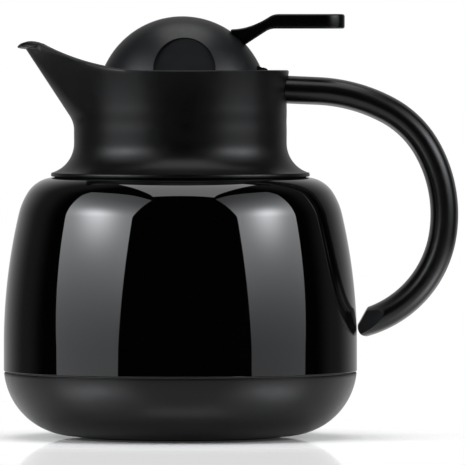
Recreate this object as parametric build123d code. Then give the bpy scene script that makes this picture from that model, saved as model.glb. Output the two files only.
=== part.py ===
from build123d import *
import math
import os

# Thermal carafe: a one-litre vacuum jug with a ball-shaped body, a moulded spout collar,
# a loop handle and a domed lid that a thumb lever swings up on a rear hinge.
#
# Millimetres. The origin is on the jug's vertical axis at the table, +Z is up, the spout points
# to -X and the handle and the thumb lever to +X.

# Clearances
FIT = 0.15  # between turned or moulded pieces that are pushed together
SEAT_GAP = 0.05  # between saddle faces that are screwed together
RUNNING_GAP = 0.3  # between pieces that move past each other
PIN_PLAY = 0.05  # radial, hinge pin in its bores
BITE = 0.5  # how far features of one moulding run into each other

# Body outline: base arc, straight band, side arc, shoulder arc, crown arc, flat cone
BODY_RADIUS = 80.0
BASE_ARC = 31.4
BASE_ARC_Z = 32.2
SIDE_ARC = 260.0
SIDE_TURN = 13.1  # degrees from level where the side arc ends
SHOULDER_ARC = 24.0
SHOULDER_TURN = 32.0
CROWN_ARC = 15.0
CROWN_TURN = 78.0

# Outer casing and the ring that takes the base cup
CASING_WALL = 0.8
CASING_MOUTH_RADIUS = 44.2
CASING_TOP_Z = 118.42  # the mouth's edge, which the straight band's height follows
SEAM_Z = 29.6
SEAM_GAP = 0.8
SEAM_DEPTH = 0.5
THREAD_RING_WALL = 1.9
THREAD_RING_HEIGHT = 15.0

# Base cup and foot
UNDERSIDE_Z = 0.8
CUP_WALL = 2.4
CUP_FLOOR = 3.4
CUP_STEPS = 5
CUP_PANEL_RADIUS = 37.0
CUP_PANEL_DEPTH = 1.2
CUP_UPSTAND_WALL = 1.8
CUP_RIB = 1.6
CUP_RIB_COUNT = 6
CUP_RIB_HEIGHT = 3.6
CUP_RIB_DROP = 1.0
UPSTAND_HEIGHT = 14.0
SOCKET_WALL = 2.0
FOOT_MEAN_RADIUS = 43.0
FOOT_WIDTH = 4.0
FOOT_GROOVE = 1.4
FOOT_ROUND = 0.6

# Vacuum liner of blown glass
GLASS = 1.8
VACUUM_GAP = 4.4
LINER_INSET = 5.6  # in from the body's outside
LINER_RADIUS = BODY_RADIUS - LINER_INSET
LINER_BOTTOM_Z = 11.0
LINER_TOP_Z = 106.0
LINER_HEEL = 45.0
LINER_NECK_RADIUS = 34.0
LINER_NECK_CORNER = 4.0
LINER_TOP_FLAT = 2.4
LINER_SHOULDER = LINER_RADIUS - LINER_NECK_RADIUS - LINER_NECK_CORNER - LINER_TOP_FLAT
LINER_HEEL_STEPS = 6
LINER_SHOULDER_STEPS = 5
LINER_CORNER_STEPS = 2
LINER_LIP_Z = 133.0
MOUTH_RADIUS = 29.0
TIP_LENGTH = 4.6
TIP_RADIUS = 3.4
TIP_SHOULDER = 0.4
SPACER_RADIUS = 4.0
SPACER_COUNT = 3
SPACER_Z = 60.0
CUSHION_RADIUS = 19.0
CUSHION_BORE = 6.5
CUSHION_BEVEL = 1.5
GASKET_THICKNESS = 1.4
GASKET_SKIRT = 8.0
COLLAR_GASKET_INSET = 1.4
COLLAR_GASKET_CLEAR = 1.2

# Collar: flange, flare and neck
FLANGE_RADIUS = 58.6
FLANGE_Z = 118.0
FLANGE_EDGE = 2.3
FLANGE_RECESS = 1.2
FLANGE_SKIRT = 1.2
FLARE_ARC = 14.0
FLARE_MIDDLE = 218.0  # degrees round the flare's arc
NECK_RADIUS = 48.15
NECK_SWELL = 1.05
NECK_SWELL_Z = 150.0
RIM_Z = 166.1
COLLAR_WALL = 2.2
SPIGOT_RADIUS = 43.6
SPIGOT_WALL = 2.4
SPIGOT_Z = 109.5
NUT_WIDTH = 7.4
NUT_NOTCHES = 6
NUT_NOTCH = 4.0
NUT_BEVEL = 1.5

# Collar: spout
SPOUT_ANGLE = 56.7  # degrees of the front line above level
SPOUT_REACH = 70.2  # where the front line ends below the drip lip
SPOUT_END_Z = 176.0
SPOUT_ROOT_ARC = 12.0
SPOUT_NOSE = 8.5
SPOUT_TAPER = 1.6
SPOUT_LEVELS = (0.6, 1.8, 3.6, 6.4, 9.6, 13.5, 18.0, 23.0, 28.5, 35.0, 46.0)  # above the spout's root
LIP_REACH = 73.6
LIP_NOSE = 10.0
LIP_RISE = 0.7
LIP_EDGE = 0.6
LIP_SINK = 0.1
RIM_SWEEP_X = -14.5
RIM_SWEEP_ARC = 104.0
RIM_SWEEP_TURN = 27.5
LIP_TOP_ARC = 13.6
LIP_NOSE_ARC = 4.8

# Collar: pour basin and throat
THROAT_WALL = 2.4
SEAT_Z = 146.9
SEAT_WIDTH = 3.5
BASIN_SLOPE = 9.0
BASIN_FLOOR = 2.3
SHOULDER_STEP = 1.0
THROAT_SKIRT_WALL = 1.9

# Deck for the hinge, behind the lid
DECK_FRONT_X = 38.5
DECK_HALF_WIDTH = 15.0
DECK_Z = 161.5
DECK_WALL = 2.0

# Hinge
HINGE_X = 37.5
HINGE_RISE = 3.2
HINGE_Z = DECK_Z + HINGE_RISE
PIN_RADIUS = 1.0
PIN_HEAD = 0.6
BARREL_RADIUS = 2.6
KNUCKLE_WIDTH = 3.5
KNUCKLE_WEB = 0.35
SPRING_BAY = 10.4
EAR_WIDTH = 3.3
SPRING_WIRE = 0.8
SPRING_INNER_RADIUS = 1.45
SPRING_TURNS = 6.25
SPRING_PITCH = 1.3
SPRING_LEG = 5.4
WIRE_SIDES = 8
EAR_FOOT = 0.3
EAR_WAIST = (0.6, 1.6)

# Lid
DOME_RADIUS = 38.7
DOME_WALL = 2.2
DOME_X = 0.9
DOME_CENTRE_Z = 151.8
DOME_EDGE_Z = 163.8
GRIP_RADIUS = 14.0
GRIP_X = 2.0
GRIP_Z = 166.8
GRIP_TILT = 21.0
GRIP_DEPTH = 0.5
PLUG_WALL = 1.8
PLUG_TOP_RADIUS = 33.4
PLUG_FLANGE_RADIUS = 35.7
PLUG_FLANGE = 1.5
PLUG_SPIGOT = 2.2
PLUG_WALL_FOOT = 1.4
SEAL_HEIGHT = 3.3
SEAL_WIDTH = 5.4
SEAL_LEDGE = 1.4

# Thumb lever
LEVER_END_X = 74.4
LEVER_TOP_Z = 191.5
LEVER_THICKNESS = 6.6
LEVER_ROOT_X = 22.8
LEVER_ROOT_RISE = 0.9
LEVER_ELBOW_X = 44.5
LEVER_ROOT_WIDTH = 14.0
LEVER_PAD_WIDTH = 19.0
LEVER_SLOPE = 33.0
LEVER_ELBOW_ARC = 8.0
LEVER_HEEL_X = 29.6
LEVER_SUNK = 9.0
LEVER_ROUND = 1.0
LEVER_WALL = 2.0
LEVER_RIB = 1.4

# Handle: a straight root and four tangent arcs, seen from the side
HANDLE_Z = 157.3
HANDLE_SLOPE = 2.0
HANDLE_ROOT = 16.5
HANDLE_ARCS = ((74.0, 26.0), (44.6, 32.2), (60.4, 39.1), (49.0, 80.0))  # radius, turn
HANDLE_THICKNESS = 12.6
HANDLE_WIDTH = 22.0
HANDLE_SIDE_ROUND = 5.5
HANDLE_END_GAP = 0.4
HANDLE_END_Z = 50.6
HANDLE_END_LEAN = 29.0
HANDLE_END_BEVEL = 6.0
HANDLE_END_NARROW = 4.0
HANDLE_NOSE = 3.6
HANDLE_NOSE_Z = 49.4
HANDLE_SUNK = 3.0
HANDLE_CUT_RISE = 25.0

# Screws
HANDLE_SCREW_RADIUS = 1.75
HANDLE_SCREW_LENGTH = 16.0
HANDLE_SCREW_HEAD = 3.2
HANDLE_SCREW_HEAD_HEIGHT = 2.2
HANDLE_SCREW_SPREAD = 5.6
HANDLE_SCREW_Z = 155.3
LEVER_SCREW_RADIUS = 1.25
LEVER_SCREW_LENGTH = 8.0
LEVER_SCREW_HEAD = 2.5
LEVER_SCREW_HEAD_HEIGHT = 1.6
LEVER_SCREW_SPREAD = 4.0
LEVER_SCREW_ANGLE = 42.0  # degrees from upright, along the dome
SCREW_RECESS = 0.6
SCREW_SLOT = 0.8

FAR = 200.0  # longer than any piece, for cutting tools


def polar(centre, radius, angle):
    """The point at an angle in degrees on a circle in the side view."""
    turn = math.radians(angle)
    return (centre[0] + radius * math.cos(turn), centre[1] + radius * math.sin(turn))


def arc(centre, radius, start, end):
    """A circular arc in the side view between two angles in degrees."""
    return CenterArc(centre, radius, start, end - start)


def facets(centre, radius, start, end, steps):
    """Straight chords in place of a hidden arc in the side view."""
    angles = [start + (end - start) * step / steps for step in range(steps + 1)]
    return Polyline(*[polar(centre, radius, angle) for angle in angles]).edges()


def turned(edges):
    """The solid that a closed outline of radius and height sweeps about the jug's axis."""
    return revolve(Plane.XZ * make_face(edges), Axis.Z)


def turned_points(*points):
    """A solid of revolution with a straight-sided outline."""
    return turned(Polyline(*points, close=True).edges())


def strip(outer, inner):
    """The closed outline between two open runs of edges that start at the same end."""
    caps = [Line(outer[0] @ 0, inner[0] @ 0), Line(outer[-1] @ 1, inner[-1] @ 1)]
    return [*outer, *inner, *caps]


def across(outline_edges, width):
    """A side-view outline thickened to both sides of the middle plane."""
    return extrude(Plane.XZ * make_face(outline_edges), width / 2, both=True)


def mouth_height():
    """How far the casing's mouth edge lies above the straight band."""
    point = polar((BODY_RADIUS - SIDE_ARC, 0), SIDE_ARC - SHOULDER_ARC, SIDE_TURN)
    point = polar(point, SHOULDER_ARC - CROWN_ARC, SHOULDER_TURN)
    point = polar(point, CROWN_ARC, CROWN_TURN)
    return point[1] + (point[0] - CASING_MOUTH_RADIUS) / math.tan(math.radians(CROWN_TURN))


# Places worked out from the body outline
SIDE_Z = CASING_TOP_Z - mouth_height()
SIDE_CENTRE = (BODY_RADIUS - SIDE_ARC, SIDE_Z)
SHOULDER_CENTRE = polar(SIDE_CENTRE, SIDE_ARC - SHOULDER_ARC, SIDE_TURN)
CROWN_CENTRE = polar(SHOULDER_CENTRE, SHOULDER_ARC - CROWN_ARC, SHOULDER_TURN)
BASE_CENTRE = (BODY_RADIUS - BASE_ARC, BASE_ARC_Z)
CONE_SLOPE = 90 - CROWN_TURN


def base_angle(inset, z):
    """Where the base arc, moved in by inset, passes the height z."""
    return math.degrees(math.asin((z - BASE_ARC_Z) / (BASE_ARC - inset)))


def cone_z(radius, inset=0.0):
    """Height of the flat cone at the top of the casing."""
    start = polar(CROWN_CENTRE, CROWN_ARC - inset, CROWN_TURN)
    return start[1] + (start[0] - radius) * math.tan(math.radians(CONE_SLOPE))


def casing_line(inset):
    """The casing's outline from the seam up to its mouth, moved in by inset."""
    straight = BODY_RADIUS - inset
    bottom = SEAM_Z + SEAM_GAP / 2
    cone_start = polar(CROWN_CENTRE, CROWN_ARC - inset, CROWN_TURN)
    return [
        arc(BASE_CENTRE, BASE_ARC - inset, base_angle(inset, bottom), 0),
        Line((straight, BASE_ARC_Z), (straight, SIDE_Z)),
        arc(SIDE_CENTRE, SIDE_ARC - inset, 0, SIDE_TURN),
        arc(SHOULDER_CENTRE, SHOULDER_ARC - inset, SIDE_TURN, SHOULDER_TURN),
        arc(CROWN_CENTRE, CROWN_ARC - inset, SHOULDER_TURN, CROWN_TURN),
        Line(cone_start, (CASING_MOUTH_RADIUS, cone_z(CASING_MOUTH_RADIUS, inset))),
    ]


def make_outer_casing():
    """Lacquered metal casing, a thin shell from the seam to the collar."""
    return turned(strip(casing_line(0), casing_line(CASING_WALL)))


THREAD_RING_OUTER = BODY_RADIUS - CASING_WALL - FIT
THREAD_RING_INNER = THREAD_RING_OUTER - THREAD_RING_WALL
THREAD_RING_Z = BASE_ARC_Z
UPSTAND_OUTER = THREAD_RING_INNER - FIT
UPSTAND_INNER = UPSTAND_OUTER - CUP_UPSTAND_WALL
CUP_TOP_Z = SEAM_Z - SEAM_GAP / 2
CUP_FLOOR_Z = UNDERSIDE_Z + CUP_FLOOR
SOCKET_INNER = CUSHION_RADIUS + FIT
SOCKET_OUTER = SOCKET_INNER + SOCKET_WALL


def make_base_thread_ring():
    """Ring bonded inside the casing's lower edge, which the base cup screws into."""
    low, high = THREAD_RING_Z, THREAD_RING_Z + THREAD_RING_HEIGHT
    inner, outer = THREAD_RING_INNER, THREAD_RING_OUTER
    lead = THREAD_RING_WALL / 2
    top_outer = SIDE_CENTRE[0] + math.sqrt(SIDE_ARC**2 - (high - SIDE_Z) ** 2) - CASING_WALL - FIT
    return turned_points(
        (inner, low + lead), (inner + lead, low), (outer, low), (outer, SIDE_Z),
        (top_outer, high), (inner, high),
    )


def make_seam_seal():
    """Black sealing ring between the casing's edge and the base cup's shoulder."""
    outer = BODY_RADIUS - SEAM_DEPTH
    inner = UPSTAND_OUTER + FIT
    return turned_points(
        (inner, CUP_TOP_Z), (outer, CUP_TOP_Z), (outer, CUP_TOP_Z + SEAM_GAP),
        (inner, CUP_TOP_Z + SEAM_GAP),
    )


def make_base_cup():
    """Matt moulded cup that closes the bottom, with an upstand for the thread and inner ribs."""
    inner_arc = BASE_ARC - CUP_WALL
    sunk_z = CUP_FLOOR_Z - BITE
    floor_angle = base_angle(CUP_WALL, CUP_FLOOR_Z)
    upstand_angle = -math.degrees(math.acos((UPSTAND_INNER - BASE_CENTRE[0]) / inner_arc))
    floor_corner = polar(BASE_CENTRE, inner_arc, floor_angle)
    upstand_foot = polar(BASE_CENTRE, inner_arc, upstand_angle)
    top_angle = base_angle(0, CUP_TOP_Z)
    upstand_top = THREAD_RING_Z + UPSTAND_HEIGHT
    panel_z = UNDERSIDE_Z + CUP_PANEL_DEPTH
    edges = [
        Line((0, panel_z), (CUP_PANEL_RADIUS, panel_z)),
        Line((CUP_PANEL_RADIUS, panel_z), (CUP_PANEL_RADIUS + CUP_PANEL_DEPTH, UNDERSIDE_Z)),
        Line((CUP_PANEL_RADIUS + CUP_PANEL_DEPTH, UNDERSIDE_Z), (BASE_CENTRE[0], UNDERSIDE_Z)),
        arc(BASE_CENTRE, BASE_ARC, -90, top_angle),
        Line(polar(BASE_CENTRE, BASE_ARC, top_angle), (UPSTAND_OUTER, CUP_TOP_Z)),
        Line((UPSTAND_OUTER, CUP_TOP_Z), (UPSTAND_OUTER, upstand_top)),
        Line((UPSTAND_OUTER, upstand_top), (UPSTAND_INNER, upstand_top)),
        Line((UPSTAND_INNER, upstand_top), upstand_foot),
        *facets(BASE_CENTRE, inner_arc, floor_angle, upstand_angle, CUP_STEPS),
        Line(floor_corner, (0, CUP_FLOOR_Z)),
        Line((0, CUP_FLOOR_Z), (0, panel_z)),
    ]
    cup = turned(edges)
    socket_top = CUP_FLOOR_Z + CUP_RIB_HEIGHT
    cup += turned_points(
        (SOCKET_INNER, sunk_z), (SOCKET_OUTER, sunk_z), (SOCKET_OUTER, socket_top),
        (SOCKET_INNER, socket_top),
    )
    rib_length = floor_corner[0] - SOCKET_OUTER + 2 * BITE
    rib = Pos(SOCKET_OUTER - BITE, 0, sunk_z) * Box(
        rib_length, CUP_RIB, socket_top - CUP_RIB_DROP - sunk_z,
        align=(Align.MIN, Align.CENTER, Align.MIN),
    )
    for turn in range(CUP_RIB_COUNT):
        cup += Rot(0, 0, turn * 360 / CUP_RIB_COUNT) * rib
    groove_inner, groove_outer = FOOT_MEAN_RADIUS - FOOT_WIDTH / 2, FOOT_MEAN_RADIUS + FOOT_WIDTH / 2
    return cup - turned_points(
        (groove_inner, 0), (groove_outer, 0), (groove_outer, UNDERSIDE_Z + FOOT_GROOVE),
        (groove_inner, UNDERSIDE_Z + FOOT_GROOVE),
    )


def make_foot_ring():
    """Rubber ring in the cup's groove, which stands proud of it and touches the table."""
    half = FOOT_WIDTH / 2 - FIT
    inner, outer = FOOT_MEAN_RADIUS - half, FOOT_MEAN_RADIUS + half
    top = UNDERSIDE_Z + FOOT_GROOVE
    return turned_points(
        (inner, FOOT_ROUND), (inner + FOOT_ROUND, 0), (outer - FOOT_ROUND, 0), (outer, FOOT_ROUND),
        (outer, top), (inner, top),
    )


def liner_line(inset, neck_radius, top_z):
    """A glass bottle's outline from the axis to its neck, moved in from the outer bottle."""
    radius, bottom, top = LINER_RADIUS - inset, LINER_BOTTOM_Z + inset, LINER_TOP_Z - inset
    heel, shoulder, corner = LINER_HEEL - inset, LINER_SHOULDER - inset, LINER_NECK_CORNER
    return [
        Line((0, bottom), (radius - heel, bottom)),
        *facets((radius - heel, bottom + heel), heel, -90, 0, LINER_HEEL_STEPS),
        Line((radius, bottom + heel), (radius, top - shoulder)),
        *facets((radius - shoulder, top - shoulder), shoulder, 0, 90, LINER_SHOULDER_STEPS),
        Line((radius - shoulder, top), (neck_radius + corner, top)),
        *facets((neck_radius + corner, top + corner), corner, 270, 180, LINER_CORNER_STEPS),
        Line((neck_radius, top + corner), (neck_radius, top_z)),
    ]


LIP_UNDERSIDE_Z = LINER_LIP_Z - GLASS
INNER_BOTTLE_INSET = GLASS + VACUUM_GAP


def make_liner_outer():
    """Outer glass bottle, with the sealed-off nib that it was pumped out through."""
    outer = liner_line(0, LINER_NECK_RADIUS, LIP_UNDERSIDE_Z)
    inner = liner_line(GLASS, LINER_NECK_RADIUS - GLASS, LIP_UNDERSIDE_Z)
    bottle = turned(strip(outer, inner))
    return bottle + turned_points(
        (0, LINER_BOTTOM_Z + GLASS / 2), (TIP_RADIUS, LINER_BOTTOM_Z + GLASS / 2),
        (TIP_RADIUS, LINER_BOTTOM_Z - TIP_SHOULDER), (TIP_RADIUS / 4, LINER_BOTTOM_Z - TIP_LENGTH),
        (0, LINER_BOTTOM_Z - TIP_LENGTH),
    )


def make_liner_inner():
    """Inner glass bottle, which holds the drink; its rolled lip is melted to the outer one."""
    outer = liner_line(INNER_BOTTLE_INSET, MOUTH_RADIUS + GLASS, LIP_UNDERSIDE_Z)
    inner = liner_line(INNER_BOTTLE_INSET + GLASS, MOUTH_RADIUS, LIP_UNDERSIDE_Z)
    lip = Polyline(
        inner[-1] @ 1, (MOUTH_RADIUS, LINER_LIP_Z - GLASS / 3), (MOUTH_RADIUS + GLASS / 3, LINER_LIP_Z),
        (LINER_NECK_RADIUS - GLASS / 3, LINER_LIP_Z), (LINER_NECK_RADIUS, LINER_LIP_Z - GLASS / 3),
        (LINER_NECK_RADIUS, LIP_UNDERSIDE_Z), outer[-1] @ 1,
    )
    floor = Line(outer[0] @ 0, inner[0] @ 0)
    return turned([*outer, *inner, *lip.edges(), floor])


def make_liner_spacers():
    """Pads that keep the two bottles apart."""
    inner = LINER_RADIUS - INNER_BOTTLE_INSET + SEAT_GAP
    outer = LINER_RADIUS - GLASS - SEAT_GAP
    gap = Cylinder(outer, FAR) - Cylinder(inner, FAR)
    pad = lengthwise_cylinder(0, 0, SPACER_Z, SPACER_RADIUS, FAR) & gap
    step = 360 / SPACER_COUNT
    return Compound(children=[Rot(0, 0, (turn + 0.5) * step) * pad for turn in range(SPACER_COUNT)])


def make_liner_cushion():
    """Rubber pad in the base cup's socket, which the liner is pressed up by."""
    top = LINER_BOTTOM_Z
    return turned_points(
        (CUSHION_BORE, CUP_FLOOR_Z), (CUSHION_RADIUS, CUP_FLOOR_Z),
        (CUSHION_RADIUS, top - CUSHION_BEVEL), (CUSHION_RADIUS - CUSHION_BEVEL, top), (CUSHION_BORE, top),
    )


THROAT_Z = LINER_LIP_Z + GASKET_THICKNESS
GASKET_OUTER = LINER_NECK_RADIUS + FIT + GASKET_THICKNESS


def make_neck_gasket():
    """Silicone cap ring over the glass lip, which the collar's throat presses on."""
    return turned_points(
        (MOUTH_RADIUS, LINER_LIP_Z), (LINER_NECK_RADIUS + FIT, LINER_LIP_Z),
        (LINER_NECK_RADIUS + FIT, LINER_LIP_Z - GASKET_SKIRT), (GASKET_OUTER, LINER_LIP_Z - GASKET_SKIRT),
        (GASKET_OUTER, THROAT_Z), (MOUTH_RADIUS, THROAT_Z),
    )


def make_collar_gasket():
    """Dark gasket between the casing's flat cone and the collar's flange."""
    outer = FLANGE_RADIUS - COLLAR_GASKET_INSET
    inner = SPIGOT_RADIUS + COLLAR_GASKET_CLEAR
    top = FLANGE_Z + FLANGE_RECESS
    return turned_points((inner, cone_z(inner)), (outer, cone_z(outer)), (outer, top), (inner, top))


def make_clamp_nut():
    """Ring nut on the collar's spigot, which clamps the collar to the casing from inside."""
    inner = SPIGOT_RADIUS + FIT
    outer = inner + NUT_WIDTH
    top_z = cone_z(CASING_MOUTH_RADIUS, CASING_WALL)
    nut = turned_points(
        (inner, SPIGOT_Z), (outer - NUT_BEVEL, SPIGOT_Z), (outer, SPIGOT_Z + NUT_BEVEL),
        (outer, cone_z(outer, CASING_WALL)), (CASING_MOUTH_RADIUS, top_z), (inner, top_z),
    )
    notch = Pos(outer, 0, SPIGOT_Z) * Box(NUT_NOTCH, NUT_NOTCH, 2 * NUT_NOTCH)
    for turn in range(NUT_NOTCHES):
        nut -= Rot(0, 0, turn * 360 / NUT_NOTCHES) * notch
    return nut


# Spout collar
FLARE_CENTRE_Z = FLANGE_Z + FLANGE_EDGE + math.sqrt(
    FLARE_ARC**2 - (NECK_RADIUS + FLARE_ARC - FLANGE_RADIUS) ** 2
)
SPOUT_LEAN = math.radians(90 - SPOUT_ANGLE)
SPOUT_KNEE_Z = SPOUT_END_Z - (SPOUT_REACH - NECK_RADIUS) / math.tan(SPOUT_LEAN)
SPOUT_ROOT_Z = SPOUT_KNEE_Z - SPOUT_ROOT_ARC * math.tan(SPOUT_LEAN / 2)
SPOUT_LINE_Z = SPOUT_ROOT_Z + SPOUT_ROOT_ARC * math.sin(SPOUT_LEAN)


def neck_radius(z):
    """The neck's radius, which swells a little towards the rim."""
    rise = max(0.0, z - NECK_SWELL_Z) / (RIM_Z - NECK_SWELL_Z)
    return NECK_RADIUS + NECK_SWELL * min(rise, 1.0) ** 2


def spout_reach(z):
    """How far forward the spout's front line is: an arc out of the neck, then a straight line."""
    if z < SPOUT_LINE_Z:
        return NECK_RADIUS + SPOUT_ROOT_ARC - math.sqrt(SPOUT_ROOT_ARC**2 - (z - SPOUT_ROOT_Z) ** 2)
    return SPOUT_REACH - (SPOUT_END_Z - z) * math.tan(SPOUT_LEAN)


def spout_nose(z):
    """The nose's radius in plan, from the neck's own radius at the root to the tip's."""
    climb = min(1.0, (z - SPOUT_ROOT_Z) / (SPOUT_END_Z - SPOUT_ROOT_Z))
    return SPOUT_NOSE + (NECK_RADIUS - SPOUT_NOSE) * (1 - climb) ** SPOUT_TAPER


def teardrop(z, main, reach, nose):
    """Plan outline: the neck circle drawn out to a nose by the two circles' common tangents."""
    centre = reach - nose
    touch = math.degrees(math.acos((main - nose) / centre))
    start, leave = (main, 0), polar((0, 0), main, 180 - touch)
    arrive = polar((-centre, 0), nose, 180 - touch)
    edges = [
        CenterArc((0, 0), main, 0, 180 - touch),
        Line(leave, arrive),
        CenterArc((-centre, 0), nose, 180 - touch, 2 * touch),
        Line((arrive[0], -arrive[1]), (leave[0], -leave[1])),
        CenterArc((0, 0), main, 180 + touch, 180 - touch),
    ]
    return Pos(0, 0, z) * make_face(edges)


def split_circle(z, main, like):
    """The plain neck circle, divided where the teardrop at the height like is."""
    nose = spout_nose(like)
    centre = spout_reach(like) - nose
    touch = math.acos((neck_radius(like) - nose) / centre)
    nose_touch = math.atan2(nose * math.sin(touch), centre + nose * math.cos(touch))
    wide, narrow = math.degrees(touch), math.degrees(nose_touch)
    edges = [
        CenterArc((0, 0), main, 0, 180 - wide),
        CenterArc((0, 0), main, 180 - wide, wide - narrow),
        CenterArc((0, 0), main, 180 - narrow, 2 * narrow),
        CenterArc((0, 0), main, 180 + narrow, wide - narrow),
        CenterArc((0, 0), main, 180 + wide, 180 - wide),
    ]
    return Pos(0, 0, z) * make_face(edges)


def neck_and_spout(inset):
    """The neck above the flare, with the spout drawn out of it, moved in by a wall's thickness."""
    heights = [SPOUT_ROOT_Z + level for level in SPOUT_LEVELS]
    sections = [split_circle(z, NECK_RADIUS - inset, heights[0]) for z in (FLARE_CENTRE_Z, SPOUT_ROOT_Z)]
    for z in heights:
        sections.append(
            teardrop(z, neck_radius(z) - inset, spout_reach(z) - inset, spout_nose(z) - inset)
        )
    return loft(sections, ruled=True)


def drip_lip():
    """The edge that rolls out round the spout's nose, turned about the nose's own axis."""
    front = SPOUT_END_Z - LIP_RISE
    under = LIP_NOSE - (LIP_REACH - spout_reach(front)) - LIP_SINK
    top = SPOUT_END_Z + 2 * LIP_NOSE_ARC
    disc = turned_points(
        (0, front), (under, front), (LIP_NOSE - LIP_EDGE, SPOUT_END_Z + LIP_RISE / 2),
        (LIP_NOSE, SPOUT_END_Z + LIP_RISE / 2 + LIP_EDGE), (LIP_NOSE, top), (0, top),
    )
    return Pos(LIP_NOSE - LIP_REACH, 0, 0) * disc


def above_rim():
    """Everything above the rim line: level behind, swept up along the sides, rounded over the lip."""
    sweep_centre = (RIM_SWEEP_X, RIM_Z + RIM_SWEEP_ARC)
    sweep_end = polar(sweep_centre, RIM_SWEEP_ARC, 270 - RIM_SWEEP_TURN)
    top_centre = polar(sweep_end, LIP_TOP_ARC, 270 - RIM_SWEEP_TURN)
    nose_centre = (top_centre[0], top_centre[1] + LIP_TOP_ARC - LIP_NOSE_ARC)
    edges = [
        Line((FAR, RIM_Z), (RIM_SWEEP_X, RIM_Z)),
        arc(sweep_centre, RIM_SWEEP_ARC, 270, 270 - RIM_SWEEP_TURN),
        arc(top_centre, LIP_TOP_ARC, 90 - RIM_SWEEP_TURN, 90),
        arc(nose_centre, LIP_NOSE_ARC, 90, 180),
        *Polyline(
            polar(nose_centre, LIP_NOSE_ARC, 180), (-FAR, nose_centre[1]), (-FAR, 2 * FAR),
            (FAR, 2 * FAR), (FAR, RIM_Z),
        ).edges(),
    ]
    return across(edges, 2 * FAR)


SEAT_TOP_RADIUS = MOUTH_RADIUS + SEAT_WIDTH
SEAT_TOP_Z = SEAT_Z + SEAT_WIDTH
BASIN_RISE = math.tan(math.radians(BASIN_SLOPE))
NECK_INNER = NECK_RADIUS - COLLAR_WALL
COLLAR_BORE = SPIGOT_RADIUS + FIT
THROAT_OUTER = MOUTH_RADIUS + THROAT_WALL
SKIRT_INNER = GASKET_OUTER + FIT
SKIRT_OUTER = SKIRT_INNER + THROAT_SKIRT_WALL
SPIGOT_INNER = SPIGOT_RADIUS - SPIGOT_WALL
EAR_INNER = SPRING_BAY / 2 + KNUCKLE_WIDTH + RUNNING_GAP
EAR_OUTER = EAR_INNER + EAR_WIDTH


def basin_z(radius):
    """Height of the pour basin's floor, which drains to the throat."""
    return SEAT_TOP_Z + (radius - SEAT_TOP_RADIUS) * BASIN_RISE


def collar_blank():
    """The collar's outside: flange, flare, neck and spout, still solid."""
    skirt_inner, recess_z = FLANGE_RADIUS - FLANGE_SKIRT, FLANGE_Z + FLANGE_RECESS
    low = turned([
        *Polyline(
            (0, FLARE_CENTRE_Z), (0, recess_z), (skirt_inner, recess_z), (skirt_inner, FLANGE_Z),
            (FLANGE_RADIUS, FLANGE_Z),
            (FLANGE_RADIUS, FLANGE_Z + FLANGE_EDGE),
        ).edges(),
        ThreePointArc(
            (FLANGE_RADIUS, FLANGE_Z + FLANGE_EDGE),
            polar((NECK_RADIUS + FLARE_ARC, FLARE_CENTRE_Z), FLARE_ARC, FLARE_MIDDLE),
            (NECK_RADIUS, FLARE_CENTRE_Z),
        ),
        Line((NECK_RADIUS, FLARE_CENTRE_Z), (0, FLARE_CENTRE_Z)),
    ])
    return (low + neck_and_spout(0) + drip_lip()) - above_rim()


def collar_bore():
    """The round space inside the flange and the flare, up to where the neck starts."""
    turn_z = FLANGE_Z + FLANGE_RECESS + COLLAR_WALL
    return turned_points(
        (0, 0), (COLLAR_BORE, 0), (COLLAR_BORE, turn_z), (NECK_INNER, turn_z + NECK_INNER - COLLAR_BORE),
        (NECK_INNER, FLARE_CENTRE_Z), (NECK_INNER - BITE, FLARE_CENTRE_Z),
        (NECK_INNER - BITE, FLARE_CENTRE_Z + BITE), (0, FLARE_CENTRE_Z + BITE),
    )


def throat_and_floor():
    """The insert's turned part: throat with its skirt and conical seat, and the draining floor."""
    foot_z = THROAT_Z + THROAT_WALL
    skirt_z = LINER_LIP_Z - GASKET_SKIRT
    seat_outer = SEAT_TOP_RADIUS + SHOULDER_STEP
    return turned_points(
        (MOUTH_RADIUS, THROAT_Z), (SKIRT_INNER, THROAT_Z), (SKIRT_INNER, skirt_z), (SKIRT_OUTER, skirt_z),
        (SKIRT_OUTER, foot_z), (THROAT_OUTER, foot_z), (THROAT_OUTER, SEAT_Z - SHOULDER_STEP),
        (seat_outer, basin_z(seat_outer) - BASIN_FLOOR), (FAR, basin_z(FAR) - BASIN_FLOOR),
        (FAR, basin_z(FAR)), (SEAT_TOP_RADIUS, SEAT_TOP_Z), (MOUTH_RADIUS, SEAT_Z),
    )


def spigot():
    """The insert's tube from the floor down through the casing's mouth."""
    under_floor = basin_z(SPIGOT_RADIUS) - BASIN_FLOOR + BITE
    return turned_points(
        (SPIGOT_INNER, SPIGOT_Z), (SPIGOT_RADIUS, SPIGOT_Z), (SPIGOT_RADIUS, under_floor),
        (SPIGOT_INNER, under_floor),
    )


def crosswise_cylinder(x, z, radius, width):
    """A cylinder along Y, centred on the middle plane."""
    return Pos(x, 0, z) * (Rot(90, 0, 0) * Cylinder(radius, width))


def lengthwise_cylinder(x, y, z, radius, length):
    """A cylinder along +X from its start at x."""
    start_on_plane = (Align.CENTER, Align.CENTER, Align.MIN)
    return Pos(x, y, z) * (Rot(0, 90, 0) * Cylinder(radius, length, align=start_on_plane))


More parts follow.
